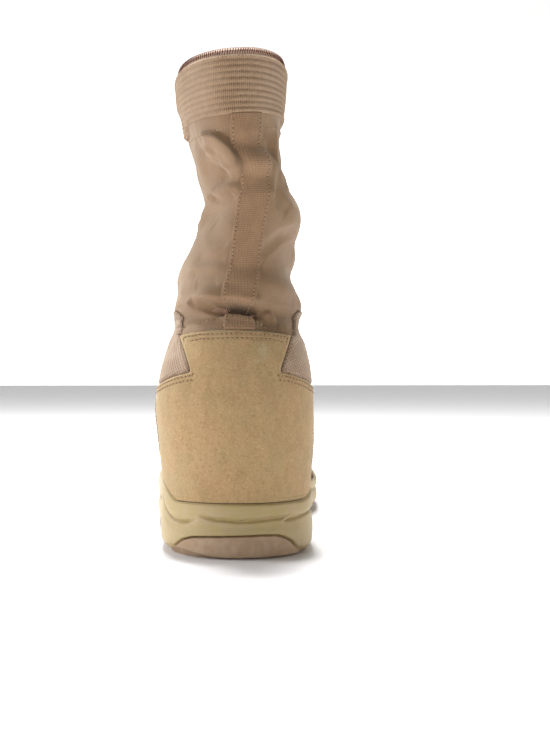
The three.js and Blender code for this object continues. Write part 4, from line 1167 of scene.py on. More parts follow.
def rubber_material():
    """Matt rubber with scuffed, paler patches."""
    rubber = Surface("tread_rubber", 0.7, 0.3)
    worn = rubber.span(rubber.math("ADD", rubber.noise(15, 4), rubber.noise(3, 3)), 0.8, 1.25)
    rubber.colour(rubber.tint(RUBBER_TAN, RUBBER_WORN, worn))
    rubber.bump(rubber.noise(1.2, 3), 0.12)
    return rubber.material


def lace_material():
    """Round braid: two sets of strands wind round it both ways."""
    cord = Surface("lace_cord", 0.8, 0.25, 0.3)
    parts = cord.node("ShaderNodeSeparateXYZ", {0: cord.sheet})
    waves = []
    for way in (1, -1):
        phase = cord.math("ADD", cord.math("MULTIPLY", parts.outputs["X"], 8 * np.pi * way),
                          cord.math("MULTIPLY", parts.outputs["Y"], 2 * np.pi / (2.4 * MM)))
        waves.append(cord.math("ABSOLUTE", cord.math("SINE", phase)))
    braid = cord.math("MULTIPLY", *waves)
    cord.colour(cord.tint(LACE_DARK, LACE_TAN, cord.span(braid, 0.0, 0.5)))
    cord.bump(braid, 0.35)
    return cord.material


def brass_material():
    """Painted metal, rubbed at the rims."""
    brass = Surface("eyelet_brass", 0.42, 0.5)
    brass.set("Metallic", 0.85)
    brass.colour(brass.tint(BRASS, BRASS_WORN, brass.span(brass.noise(1.5, 3), 0.5, 0.7)))
    return brass.material


def thread_material(name, colour, dark):
    """Thread with darker, dirtier spots."""
    thread = Surface(name, 0.6, 0.3, 0.2)
    thread.colour(thread.tint(colour, dark, thread.span(thread.noise(0.9, 2), 0.45, 0.7)))
    return thread.material


def hole_shade_material():
    """Painted shade of a needle hole in suede: a dark spot for the hole's shaded depth."""
    hole = Surface("needle_hole", 0.95, 0.1)
    hole.colour(hole.tint(SUEDE_DARK, HOLE_SHADE, hole.span(hole.noise(1.0), 0.3, 0.6)))
    return hole.material


# %% [markdown]
# ## Colours
#
# Each finish blends two or three colours that were judged against the photo, in the studio's
# light.

# %% Colours and finishes
# the colour of the painted shade inside the needle holes
HOLE_SHADE = (0.10, 0.055, 0.028)
# the colour of the painted shade in the deep folds
PAINTED_SHADE_COLOUR = (0.06, 0.034, 0.02)
NYLON, NYLON_DARK = (0.345, 0.215, 0.118), (0.27, 0.165, 0.09)
WEBBING_TAN, WEBBING_DARK = (0.385, 0.232, 0.128), (0.305, 0.178, 0.098)
ELASTIC_TAN, ELASTIC_LIGHT = (0.39, 0.25, 0.145), (0.45, 0.30, 0.185)
# the colour of the painted shade in the band's grooves
ELASTIC_DARK = (0.15, 0.08, 0.042)
MESH_TAN, MESH_LIGHT = (0.40, 0.265, 0.17), (0.50, 0.355, 0.25)
MESH_DARK = (0.13, 0.075, 0.045)
LINING_RUST, LINING_DARK = (0.44, 0.27, 0.175), (0.28, 0.15, 0.09)
SUEDE_TAN, SUEDE_GREEN = (0.54, 0.355, 0.175), (0.48, 0.34, 0.165)
SUEDE_WARM = (0.52, 0.305, 0.15)
SUEDE_PALE, SUEDE_DARK = (0.72, 0.53, 0.33), (0.29, 0.17, 0.075)
SUEDE_STAIN = (0.60, 0.52, 0.33)
FOAM_TAN, FOAM_OLIVE = (0.53, 0.40, 0.18), (0.47, 0.375, 0.15)
FOAM_DUST = (0.56, 0.415, 0.26)
RUBBER_TAN, RUBBER_WORN = (0.49, 0.335, 0.215), (0.57, 0.41, 0.275)
LACE_TAN, LACE_DARK = (0.36, 0.23, 0.13), (0.15, 0.085, 0.045)
BRASS, BRASS_WORN = (0.10, 0.065, 0.035), (0.32, 0.22, 0.12)
RUST, RUST_DARK = (0.20, 0.075, 0.045), (0.12, 0.042, 0.028)
EDGING = (0.66, 0.46, 0.35)
THREAD, THREAD_DARK = (0.50, 0.34, 0.20), (0.30, 0.18, 0.10)

finish = {
    "shaft_nylon": nylon_material(), "webbing": webbing_material(),
    "ribbed_elastic": elastic_material(), "ankle_mesh": mesh_material(),
    "lining_cloth": lining_material(), "suede": suede_material(),
    "midsole_foam": foam_material(), "tread_rubber": rubber_material(),
    "lace_cord": lace_material(), "eyelet_brass": brass_material(),
    "seam_thread": thread_material("seam_thread", THREAD, THREAD_DARK),
    "rust_thread": thread_material("rust_thread", RUST, RUST_DARK),
    "needle_hole": hole_shade_material()}
print(len(finish), "finishes")

# %% [markdown]
# ## The sheets
#
# Now the pieces are cut. The shell and its lining come first, then what is sewn on it. On
# the real boot they are two cloths, sewn together at the rim and at the throat. Here both are
# the same surface at two depths, so they fit at every fold.

# %% Shell and lining
# closest at the back, where the creases are, and close again at the throat
AROUND_FINE = in_stretches((-0.5, -0.42, 30), (-0.42, -0.22, 26), (-0.22, -0.12, 28),
                           (-0.12, 0.12, 130), (0.12, 0.22, 28), (0.22, 0.42, 26), (0.42, 0.5, 30))
AROUND_LINING = in_stretches((-0.5, -0.42, 24), (-0.42, 0.42, 130), (0.42, 0.5, 24))
FULL = in_stretches((0, 0.42, 30), (0.42, 0.90, 112), (0.90, 1.0, 8))
SHELL_INNER, LINING_OUTER = -UPPER_WALL * 0.5, -UPPER_WALL * 0.75


def edging(sheet, place):
    """Share of the pale edging: full near the rim, none below the band's top edge."""
    return {"bound": ease(LINING_SHOWS + 4, LINING_SHOWS + 1, below_rim(sheet))}


# the shell carries the painted shade of the folds and the pale edging at the rim
upper = cloth_shell("shell_nylon", (AROUND_FINE, FULL), upper_field, SHELL_INNER, 0.0,
                    marks=lambda sheet, place: painted_shade_marks(sheet, place) | edging(sheet, place))
dress(upper[0], "shaft_nylon", finish["shaft_nylon"], "upper")
lining = cloth_shell("lining", (AROUND_LINING, in_stretches((0, 1.0, 64))), lining_field,
                     -UPPER_WALL, LINING_OUTER, follow=0.2, marks=edging, flaps=False)
dress(lining[0], "lining_cloth", finish["lining_cloth"])

# %% [markdown]
# ## Heel counter and toe cap
#
# The counter and the toe cap are flat pieces of suede, lasted over the upper and sewn down
# with two rows along the edge. The thread pulls the suede in, so a shallow groove runs where
# the rows are.

# %% Counter and toe cap
SEAM_ROWS = (1.8, 3.9)
SEAM_DEPTH, SEAM_HALF_WIDTH = 0.3, 0.8


def stitched(place):
    """The ears' slanted sides have no stitches: only their tops, the steps and the toe do."""
    x, y, z = place.T
    step = ease(18.5, 19.5, np.abs(x)) * ease(90, 89, z)
    return np.where(y > COUNTER_REACH, 1.0, np.maximum(step, ease(100, 101, z)))


def seam_groove(sheet, place):
    """The two rows of stitches press the suede in."""
    away = [np.minimum(1, np.abs(sheet["edge"] - row) / SEAM_HALF_WIDTH) for row in SEAM_ROWS]
    return -SEAM_DEPTH * sum(hump(part) for part in away) * stitched(place)


def wear_marks(sheet, place):
    """A pale stain and a scuff to the inner side of the counter's back."""
    x, y, z = place.T
    behind = y < 30
    stain = hump(np.minimum(1, np.hypot((x - 12.2) / 3.6, (z - 96.5) / 6.0)))
    scuff = hump(np.minimum(1, np.hypot((x - 10.0) / 2.2, (z - 92.0) / 1.6)))
    return {"stain": stain * behind, "scuff": scuff * behind}


counter = cloth_shell("suede_counter", (round_the_boot(380)[36:345], in_stretches((0, 0.44, 90))),
                      heel_counter_field, FIT_GAP, FIT_GAP + SUEDE, relief=seam_groove,
                      rows=(1.2, 2.4, 3.2, 4.6), marks=wear_marks, flaps=False)
dress(counter[0], "suede", finish["suede"], "heel_counter")
toe_cap = cloth_shell("suede_toe", (np.linspace(0.28, 0.72, 170), in_stretches((0, 0.45, 96))),
                      toe_cap_field, FIT_GAP, FIT_GAP + SUEDE, relief=seam_groove)
dress(toe_cap[0], "suede", finish["suede"], "toe_cap")

# %% [markdown]
# ## Elastic band
#
# The band is a wide ribbed elastic, sewn on along both edges. Its ribs follow its own two
# edges, so they lean with the rim and open towards the sides. They are big enough to be
# shaped.

# %% Elastic band
BAND_RIBS = 10
RIB_HEIGHT = 0.5
STRIP_PROUD = 0.1


def band_share(sheet, place):
    """Where a place lies between the band's lower edge (0) and its upper edge (1)."""
    low = above_band_edge(place)
    high = below_rim(sheet, LINING_SHOWS)
    return low / np.maximum(low + high, 1e-6)


def band_ribs(sheet, place):
    """Soft round ribs. The rows at both edges are strips sewn over, so they stand higher."""
    share = band_share(sheet, place) * BAND_RIBS
    wave = np.abs(np.sin(np.pi * share))
    strip = ease(1.02, 0.9, np.minimum(share, BAND_RIBS - share))
    return RIB_HEIGHT * (wave - 1) + STRIP_PROUD * strip


def band_groove_shade(sheet, place):
    """Share of painted shade in a groove: none in the outer ribs, less on the lit outer side."""
    share = band_share(sheet, place) * BAND_RIBS
    wave = np.abs(np.sin(np.pi * share))
    inside = ease(0.4, 0.6, np.minimum(share, BAND_RIBS - share))
    lit_side = mix(0.45, 1.0, ease(-14, 2, place[:, 0]))
    return {"groove": (1 - ease(0.0, 0.85, wave)) * inside * lit_side}


# the band carries its share of painted shade in the grooves
band = cloth_shell("elastic_band", (round_the_boot(250, 0.5), in_stretches((0.84, 1.0, 116))),
                   collar_band_field, FIT_GAP, FIT_GAP + ELASTIC, relief=band_ribs,
                   marks=band_groove_shade, flaps=False)
dress(band[0], "ribbed_elastic", finish["ribbed_elastic"], "collar_band")

# %% [markdown]
# ## Strap, ankle panels, eyestays and tongue
#
# The strap is webbing that hides the back seam. The ankle panels let air in where the boot
# bends. The eyestays carry the eyelets, and the tongue is a padded strip under the throat.
# All of them are sheets on the same surface, each with its own outline and thickness.

# %% Strap, ankle mesh, eyestays and tongue
strap_places = (np.linspace(-0.08, 0.12, 90), in_stretches((0.36, 0.92, 200)))
# the strap carries the same painted shade of the folds as the nylon
strap = cloth_shell("webbing_strap", strap_places, back_strap_field, FIT_GAP, FIT_GAP + WEBBING,
                    roll=0.5, marks=painted_shade_marks, flaps=False)
dress(strap[0], "webbing", finish["webbing"], "back_strap")
for side, word in ((1, "medial"), (-1, "lateral")):
    panel_places = (round_the_boot(360), in_stretches((0.2, 0.56, 90)))
    panel = cloth_shell("mesh_panel_" + word, panel_places, ankle_panel_field(side),
                        FIT_GAP, FIT_GAP + WEBBING, flaps=False)
    dress(panel[0], "ankle_mesh", finish["ankle_mesh"], "ankle_panel_" + word)
    stay_places = (0.5 - side * np.linspace(-0.01, 0.17, 110), in_stretches((0.35, 1.0, 150)))
    stay = cloth_shell("stay_" + word, stay_places, eyestay_field(side),
                       FIT_GAP, FIT_GAP + SUEDE, flaps=False)
    dress(stay[0], "suede", finish["suede"], "eyestay_" + word)
tongue_face = -UPPER_WALL - FIT_GAP
tongue_places = (np.linspace(0.38, 0.62, 60), in_stretches((0.33, 1.04, 120)))
tongue = cloth_shell("tongue_pad", tongue_places, tongue_field, tongue_face - TONGUE_PAD,
                     tongue_face, flaps=False)
dress(tongue[0], "shaft_nylon", finish["shaft_nylon"], "tongue")

# %% [markdown]
# ## The sole
#
# The midsole is one block of moulded foam. Its side has two soft bands with creases between
# them that fade in and out at the heel, and at the sides its rim climbs up the suede like a
# cup. It is a stack of rings, from under the foot, out and up the side, over the rim and in
# again. The rubber tread lies under it and comes up the back of the heel as an arched tab.

# %% Sole sizes
SOLE_MARGIN = 2.4
TOE_MARGIN = 5.0
LUG_HEIGHT = 2.4
TREAD_PLATE = 2.4
LUG_PITCH = 17.0
LUG_GROOVE = 5.0
LUG_COLUMNS = 3
LUG_INSET = 2.0
LUG_TUCK = 3.5
HEEL_RIM_WIDTH = 12.0
HEEL_RIM_REACH = 34.0
BALL_BREADTH = BALL_LATERAL + BALL_MEDIAL
CUP_RISE = 8.5
TAB_PROUD = 0.1
TAB_SEAT = 2.6


def sole_line(u, out):
    """The feather line moved level outwards by the sole's margin and out."""
    foot, normal = surface(u, np.zeros_like(u)), outward(u, np.zeros_like(u))
    margin = mix(SOLE_MARGIN, TOE_MARGIN, ease(0.45, 0.95, foot[..., 1] / LAST_LENGTH))
    return foot + normal * (margin + out)[..., None]


def sole_stretch(u):
    """Way round the sole's edge in mm from the middle of the heel, inner side positive."""
    fine = np.linspace(-0.5, 0.5, 2001)
    step = np.linalg.norm(np.diff(sole_line(fine, np.zeros(2001)), axis=0), axis=1)
    way = np.concatenate([[0], np.cumsum(step)])
    return np.interp(u, fine, way - np.interp(0, fine, way))


def plate_top(y):
    """Height of the tread plate's upper face, which lifts at the toe."""
    return LUG_HEIGHT + TREAD_PLATE + toe_lift(y)


def cup_rise(s, y):
    """How far the rim climbs above the feather line: most beside the heel, outer side more."""
    side = np.where(s < 0, 1.15, 0.6)
    near, far = np.where(s < 0, 32, 36), np.where(s < 0, 53, 68)
    return side * CUP_RISE * ease(near, far, np.abs(s)) * ease(190, 90, y)


def heel_bevel(s):
    """The tread lifts at the outer corner of the heel, where it is worn, and a little at the
    inner one."""
    return 4.4 * hump((s + 43) / 40) + 1.2 * hump((s - 56) / 24)


def foam_bevel(s):
    """The foam comes down over the tread at both corners of the heel."""
    return -2.2 * hump((s + 48) / 24) - 3.6 * hump((s - 44) / 24)


# width of the trough, its depth, its places (s, height)
SIDE_CREASES = [
    (1.4, 1.5, [(-200, 14), (-120, 18.5), (-76, 24), (-60, 28.5), (-51, 26.8), (-45, 21.6),
                (-39.5, 18.5), (-33, 17), (-27, 16.9), (-18.5, 18.2)]),
    (1.3, 1.5, [(-19, 20.6), (-11.7, 18.8), (-4.5, 18.3), (-1.6, 17.9), (6.5, 18.0),
                (14.5, 18.6), (21.9, 18.8), (32, 20.2)]),
    (1.4, 1.5, [(22, 17.6), (33, 18.3), (45, 19.4), (60, 19.6), (120, 18.0), (200, 14)]),
    (1.7, 1.2, [(190, 14.4), (240, 14.0), (300, 19), (350, 24)]),
    (1.7, 1.2, [(-190, 14.4), (-240, 14.0), (-300, 19), (-350, 24)]),
]
TAB_ARCH = [(-38, -3), (-37, 3.6), (-33.4, 6.0), (-28.4, 8.7), (-23.6, 10.1), (-16, 10.7),
            (0, 11.2), (12, 11.4), (19, 11.1), (23.5, 10.0), (28.5, 7.6), (32, 4.6),
            (35, 2.0), (36, -3)]


def foam_relief(s, z, base, top):
    """Two bulging bands between the bottom and the rim, less a trough along each crease."""
    share = np.clip((z - base) / (top - base), 0, 1)
    swell = 0.9 * hump((share - 0.28) / 0.42) + 0.8 * hump((share - 0.78) / 0.36)
    rounded = -1.6 * ease(0.10, 0, share) ** 1.5 - 1.1 * ease(0.93, 1, share) ** 2
    for wide, deep, points in SIDE_CREASES:
        away, along, side = from_path(smooth_path(points), s, z)
        fade = taper(along, 0.12, 0.12)
        trough = np.exp(-(away / wide * 1.6) ** 2)
        shelf = np.where(side < 0, 0.5, 0.0) * hump(np.minimum(1, away / 6))
        swell = swell - fade * (deep * trough + shelf)
    return swell + rounded


def ring_stack(name, rings):
    """Closed stack of rings (rows, corners, 3): walls between them, ladders at both ends."""
    rows, count = rings.shape[:2]
    k = np.arange(1, count // 2 - 1)
    ladder = np.stack([k, count - k, count - k - 1, k + 1], 1)
    tips = np.array([[0, count - 1, 1, 0], [count // 2 - 1, count // 2 + 1, count // 2,
                                            count // 2]])
    faces = quads(rows, count).tolist()
    for shift, turn in ((0, 1), ((rows - 1) * count, -1)):
        faces += [list(dict.fromkeys(f[::turn])) for f in (ladder + shift).tolist()]
        faces += [list(dict.fromkeys(f[::turn])) for f in (tips + shift).tolist()]
    return make_object(name, rings, faces)


# %% [markdown]
# ## Midsole
#
# The foam is poured in a mould, so its section is the same all round but for the height of
# its rim. Each row of the stack is the sole's line, moved out by the bands and in by the
# creases. Behind the arch of the rubber tab the foam steps back to let the tab in.

# %% Midsole
SOLE_AROUND = 640
SIDE_ROWS = 84
FOAM_SEAT = 0.1
RIM_WALL = 1.6
CUP_FLOOR = 0.6
turns = closed_ring(SOLE_AROUND, 0.5)
ways = sole_stretch(turns)
outline = sole_line(turns, np.zeros_like(turns))
foot_y = outline[:, 1]
bottom = plate_top(foot_y) + FOAM_SEAT + foam_bevel(ways) * ease(60, 20, foot_y)
rim = sole_top(foot_y) + cup_rise(ways, foot_y)
rows = []
for share in np.linspace(0, 1, SIDE_ROWS):
    z = mix(bottom, rim, share)
    out = foam_relief(ways, z, bottom, rim)
    tab = inside_outline(TAB_ARCH, ways, z)
    out = mix(out, -TAB_SEAT + 0 * out, ease(-0.35, 0.35, tab))
    row = sole_line(turns, out)
    row[:, 2] = z
    rows.append(row)


def level_row(out, z):
    """The sole's line moved out (or in, if negative), at the given heights."""
    row = sole_line(turns, np.full(SOLE_AROUND, out))
    row[:, 2] = z
    return row


under = [level_row(-16.0, bottom + 1.0), level_row(-6.0, bottom)]
cup_floor = sole_top(foot_y) - CUP_FLOOR
over = []
for height in (rim - 0.5, cup_floor):
    row = surface(turns, np.zeros_like(turns)) + outward(turns, np.zeros_like(turns)) * RIM_WALL
    row[:, 2] = height
    over.append(row)
inner = level_row(-12.0, cup_floor)
midsole = ring_stack("foam_midsole", np.array([*under, *rows, *over, inner]))
dress(midsole, "midsole_foam", finish["midsole_foam"], "midsole")

# %% [markdown]
# ## Rubber tab and tread
#
# The tread is one moulded piece: a plate with lugs under it, a rim round the heel and a tab
# that comes up behind it. The lugs are cut to the sole's outline, so that none sticks out.
# The pattern under the foot doesn't show in the photo and is kept plain.

# %% Rubber tab
TAB_LOW, TAB_HIGH = 0.3, 12.5
TAB_GAP = 0.25
TAB_BEVEL = 0.8


def tab_wall(u, v):
    """The sole's edge under and behind the heel, from near the floor (0) up (1)."""
    place = sole_line(u, np.zeros_like(u))
    place[..., 2] = mix(TAB_LOW, TAB_HIGH, v)
    return place


def tab_outward(u, v):
    """The sole's normal with its upright part taken out."""
    normal = outward(u, np.zeros_like(u))
    normal[..., 2] = 0
    return normal / np.linalg.norm(normal, axis=-1, keepdims=True)


def tab_field(sheet, place):
    """Inside the arch by a small gap, and above the worn corner of the heel."""
    arch = inside_outline(TAB_ARCH, sheet["s"], place[:, 2]) - TAB_GAP
    return np.minimum(arch, place[:, 2] - TAB_LOW - heel_bevel(sheet["s"]) * TAB_BEVEL)


tab = cloth_shell("rubber_tab", (np.linspace(-0.09, 0.09, 200), np.linspace(0, 1, 40)),
                  tab_field, -TAB_SEAT - 2, TAB_PROUD, roll=0.9, rows=(1.6,),
                  body=(tab_wall, tab_outward))
dress(tab[0], "tread_rubber", finish["tread_rubber"])


# %% Tread plate
# each row: how far out, its height, its share of the heel's bevel
PLATE_TOP = LUG_HEIGHT + TREAD_PLATE
PLATE_PROFILE = ((-8.0, LUG_HEIGHT, 0), (-1.8, LUG_HEIGHT, 0.6), (-1.0, LUG_HEIGHT + 0.8, 1),
                 (-1.0, PLATE_TOP, 1), (-3.0, PLATE_TOP + 0.3, 1))
plate_rows = []
for out, z, lift in PLATE_PROFILE:
    worn = lift * heel_bevel(ways) * ease(60, 20, foot_y)
    plate_rows.append(level_row(out, z + toe_lift(foot_y) + worn))
plate = ring_stack("tread_plate", np.array(plate_rows))
dress(plate, "tread_rubber", finish["tread_rubber"], "outsole")

# %% Lugs
# where the lugs run, as shares of the last's length: heel, then ball and toe
LUG_STRETCHES = ((0.012, 0.30), (0.46, 0.97))
LUG_SLANT, LUG_SWEEP = 0.12, 0.18
LUG_SUNK = 0.6


def clip(polygon, region):
    """What is left of a polygon inside a convex region, one side of the region at a time."""
    for (x0, y0), (x1, y1) in zip(region, region[1:] + region[:1]):
        side = [(x1 - x0) * (y - y0) - (y1 - y0) * (x - x0) for x, y in polygon]
        kept = []
        for k, (point, here) in enumerate(zip(polygon, side)):
            before, there = polygon[k - 1], side[k - 1]
            if (here >= 0) != (there >= 0):
                t = there / (there - here)
                kept.append((mix(before[0], point[0], t), mix(before[1], point[1], t)))
            if here >= 0:
                kept.append(point)
        polygon = kept
        if len(polygon) < 3:
            return []
    return polygon


def lug_blocks():
    """Slanted blocks in rows, swept back at the sides. Near the heel's back only the middle
    column is left, because the rim takes the place of the others."""
    wide = BALL_BREADTH / LUG_COLUMNS
    half = (wide - LUG_GROOVE) / 2
    for start, end in LUG_STRETCHES:
        room = (end - start) * LAST_LENGTH
        count = max(1, round(room / LUG_PITCH))
        for k in range(count):
            back = start * LAST_LENGTH + k * room / count
            for column in range(LUG_COLUMNS):
                if back < HEEL_RIM_REACH and column != 1:
                    continue
                middle = (column - (LUG_COLUMNS - 1) / 2) * wide
                slant = middle * LUG_SLANT
                low = back - abs(middle) * LUG_SWEEP
                high = low + room / count - LUG_GROOVE
                yield [(middle - half, low + slant), (middle + half, low - slant),
                       (middle + half, high - slant), (middle - half, high + slant)]


room_u = closed_ring(200)
behind = ease(90, 45, surface(room_u, np.zeros(200))[:, 1])
lug_room = [tuple(p) for p in sole_line(room_u, -LUG_INSET - LUG_TUCK * behind)[:, :2].tolist()]
lug_places, lug_faces, first = [], [], 0
for block in lug_blocks():
    left = clip(lug_room, block)
    if len(left) < 3:
        continue
    flat, n = np.array(left), len(left)
    lift = toe_lift(flat[:, 1])
    lug_places += [np.column_stack([flat, lift]),
                   np.column_stack([flat, lift + LUG_HEIGHT + LUG_SUNK])]
    ends = [list(range(n))[::-1], list(range(n, 2 * n))]
    lug_faces += [[first + k for k in face] for face in [*ends, *quads(2, n).tolist()]]
    first += 2 * n
lugs = make_object("tread_lugs", np.concatenate(lug_places), lug_faces, smooth=False)
dress(lugs, "tread_rubber", finish["tread_rubber"])

# %% Heel rim
RIM_TOP = 3.0
# each row: how far out, its height, its share of the heel's bevel
RIM_PROFILE = ((-HEEL_RIM_WIDTH - LUG_INSET, 0, 0), (-4.4, 0, 0), (-2.6, 0.2, 0.6),
               (-1.5, 0.9, 1), (-1.0, 2.0, 1), (-1.0, RIM_TOP, 1),
               (-HEEL_RIM_WIDTH - LUG_INSET, RIM_TOP, 1))
rim_u = np.sort(turns[foot_y < HEEL_RIM_REACH])
rim_rows = []
for out, z, lift in RIM_PROFILE:
    row = sole_line(rim_u, np.full(len(rim_u), out))
    row[:, 2] = z + lift * heel_bevel(sole_stretch(rim_u))
    rim_rows.append(row)
count = len(rim_u)
ends = np.arange(len(rim_rows)) * count
rim_faces = [*quads(len(rim_rows), count, ring=False, stack=True).tolist(),
             ends[::-1].tolist(), (ends + count - 1).tolist()]
heel_rim = make_object("heel_rim", np.array(rim_rows), rim_faces, smooth=False)
dress(heel_rim, "tread_rubber", finish["tread_rubber"])

# %% [markdown]
# ## Eyelet rings
#
# An eyelet is pressed from sheet metal: a flange on the suede and a tube through the wall. It
# is the same all round, so a small profile is spun about its axis.

# %% Eyelets
EYESTAY_OUT = FIT_GAP + SUEDE
# radius from the axis, height over the eyestay
EYELET_PROFILE = [(2.3, -2.6), (2.3, 0.3), (2.45, 0.75), (2.9, 1.0), (3.5, 0.95), (4.1, 0.6),
                  (4.4, 0.15), (4.4, -0.5), (2.8, -0.6), (2.8, -2.6)]


def spin(name, profile, middles, axes, sides):
    """The closed profile (radius, height) turned about each axis at each middle."""
    profile = np.asarray(profile, float)
    turn = 2 * np.pi * np.arange(sides) / sides
    helper = np.where(np.abs(axes[:, :1]) < 0.9, [[1.0, 0, 0]], [[0, 1.0, 0]])
    side = np.cross(axes, helper)
    side /= np.linalg.norm(side, axis=1, keepdims=True)
    other = np.cross(axes, side)
    ring = (side[:, None] * np.cos(turn)[None, :, None]
            + other[:, None] * np.sin(turn)[None, :, None])
    places = (middles[:, None, None] + ring[:, None] * profile[None, :, 0, None, None]
              + axes[:, None, None] * profile[None, :, 1, None, None])
    shift = np.arange(len(middles)) * len(profile) * sides
    faces = quads(len(profile), sides, stack=True)[None] + shift[:, None, None]
    return make_object(name, places, faces.reshape(-1, 4))


for side, word in ((1, "medial"), (-1, "lateral")):
    normal = outward(EYELETS[side], EYELET_ROWS)
    middle = surface(EYELETS[side], EYELET_ROWS) + normal * EYESTAY_OUT
    eyelets = spin("eyelets_" + word, EYELET_PROFILE, middle, normal, 28)
    dress(eyelets, "tread_rubber", finish["eyelet_brass"])

# %% [markdown]
# ## Lace
#
# The lace is a round cord. It starts straight across the lowest pair of eyelets. Then two
# runs cross between each pair and the next: each leaves an eyelet, lies on the tongue and
# goes under the other eyestay. Only the top pair is threaded over.

# %% Lace
LACE_RADIUS = 1.7
LACE_LIFT = 0.9
RUN_PLACES = 41
UNDER_WALL = 0.9


def tube(name, paths, normals, radius, sides=14):
    """A round tube along every path (paths, places, 3), closed at both ends."""
    tangent = np.gradient(paths, axis=1)
    tangent /= np.linalg.norm(tangent, axis=-1, keepdims=True)
    across = np.cross(tangent, normals)
    across /= np.linalg.norm(across, axis=-1, keepdims=True)
    up = np.cross(across, tangent)
    turn = 2 * np.pi * np.arange(sides) / sides
    ring = (across[..., None, :] * np.cos(turn)[:, None]
            + up[..., None, :] * np.sin(turn)[:, None])
    places = paths[..., None, :] + ring * radius
    count, rows = paths.shape[:2]
    way = np.concatenate([np.zeros((count, 1)), np.cumsum(
        np.linalg.norm(np.diff(paths, axis=1), axis=-1), 1)], 1)
    walls = quads(rows, sides)
    faces = []
    for k in range(count):
        shift = k * rows * sides
        faces += (walls + shift).tolist()
        faces += [list(range(shift + sides - 1, shift - 1, -1)),
                  list(range(shift + (rows - 1) * sides, shift + rows * sides))]
    flat = np.stack([np.broadcast_to(turn / (2 * np.pi), (count, rows, sides)),
                     np.broadcast_to(way[..., None] * MM, (count, rows, sides))], -1)
    return make_object(name, places, faces, flat.reshape(-1, 2))


def crossing(v0, u0, v1, u1, over_start, over_end, lift):
    """From one eyelet to another: heights above the upper at start, on the tongue, at end."""
    t = np.linspace(0, 1, RUN_PLACES)
    on_tongue = LACE_LIFT - UPPER_WALL + LACE_RADIUS
    over = EYESTAY_OUT + EYELET_FLANGE + 0.3 + LACE_RADIUS
    under = -UPPER_WALL - UNDER_WALL
    ends = []
    for place, is_over in ((t, over_start), (1 - t, over_end)):
        rise = mix(-1.5, over, ease(0, 0.09, place)) if is_over else np.full(RUN_PLACES, under)
        ends.append(rise)
    sink_a, sink_b = ease(0.17, 0.36, t), ease(0.17, 0.36, 1 - t)
    height = mix(ends[0], on_tongue, sink_a) + mix(ends[1], on_tongue, sink_b) - on_tongue
    height = height + lift * hump((t - 0.5) / 0.2)
    u, v = mix(u0, u1, t), mix(v0, v1, t)
    normal = outward(u, v)
    return surface(u, v) + normal * height[:, None], normal


runs = [crossing(EYELET_ROWS[0], EYELETS[1][0], EYELET_ROWS[0], EYELETS[-1][0], True, True, 0)]
for k in range(EYELET_PAIRS - 1):
    for side in (1, -1):
        runs.append(crossing(EYELET_ROWS[k], EYELETS[side][k], EYELET_ROWS[k + 1],
                             EYELETS[-side][k + 1], k > 0, k + 1 == EYELET_PAIRS - 1,
                             1.5 * side + 0.6))
lace_paths, lace_normals = (np.array(part) for part in zip(*runs))
lace = tube("lace_runs", lace_paths, lace_normals, LACE_RADIUS)
dress(lace, "lace_cord", finish["lace_cord"], "lace")

# %% [markdown]
# ## Insole
#
# The insole is a thin pad with a knit cover, cut to the inside of the upper. It hardly shows,
# so three rings are enough, the last one drawn in for a soft edge.

# %% Insole
INSOLE_THICKNESS = 4.0
inside = []
turn_u = closed_ring(200)
flat_out = np.zeros(200)
for out, up in ((0.0, 0.0), (0.0, 0.8), (-1.0, 1.0)):
    inset = UPPER_WALL + 2 * FIT_GAP + 0.3 - out
    row = surface(turn_u, flat_out) - outward(turn_u, flat_out) * inset
    row[:, 2] = sole_top(row[:, 1]) + FIT_GAP + up * INSOLE_THICKNESS
    inside.append(row)
insole = ring_stack("knit_insole", np.array(inside))
dress(insole, "lining_cloth", finish["lining_cloth"], "insole")

# %% [markdown]
# ## Stitches
#
# Every seam that shows is a row of separate stitches. A seam is a line on a sheet where some
# value is 0, such as the distance to the edge less 1.8 mm. The line is found triangle by
# triangle, walked from end to end, and cut into stitches that dip into the cloth at both
# ends.

# %% Seam lines
def seam_lines(sheet, value, within=None):
    """Lines on the sheet's outer face where the value is 0, as chains of places and normals.
    within is true where a line may run."""
    tri, value = sheet["tri"], value + 1e-7
    over = value[tri] > 0
    crossed = over.any(1) & ~over.all(1)
    if within is not None:
        crossed &= within[tri].all(1)
    tri, over = tri[crossed], over[crossed]
    if not len(tri):
        return []
    rows = np.arange(len(tri))
    odd = np.argmax(over == (over.sum(1) == 1)[:, None], 1)
    one = tri[rows, odd]
    ends = np.stack([np.stack([one, tri[rows, (odd + k) % 3]], 1) for k in (1, 2)], 1)
    keys = np.sort(ends, -1).reshape(-1, 2)
    found, index = np.unique(keys[:, 0] * (len(value) + 1) + keys[:, 1], return_inverse=True)
    a, b = found // (len(value) + 1), found % (len(value) + 1)
    t = (value[a] / (value[a] - value[b]))[:, None]
    places = mix(sheet["outer"][a], sheet["outer"][b], t)
    normals = mix(sheet["normal"][a], sheet["normal"][b], t)
    links = [[] for _ in found]
    for p, q in index.reshape(-1, 2):
        links[p].append(q)
        links[q].append(p)
    chains, left = [], set(range(len(found)))
    for start in sorted(left, key=lambda k: len(links[k])):
        if start not in left:
            continue
        chain = [start]
        left.discard(start)
        while True:
            onward = [k for k in links[chain[-1]] if k in left]
            if not onward:
                break
            chain.append(onward[0])
            left.discard(onward[0])
        chains.append((places[chain], normals[chain]))
    return chains


STITCH = 1.6
STITCH_GAP = 0.7
STITCH_THICK = np.array([0.16, 0.30, 0.33, 0.30, 0.16])
STITCH_RISE = np.array([-0.25, 0.12, 0.2, 0.12, -0.25])


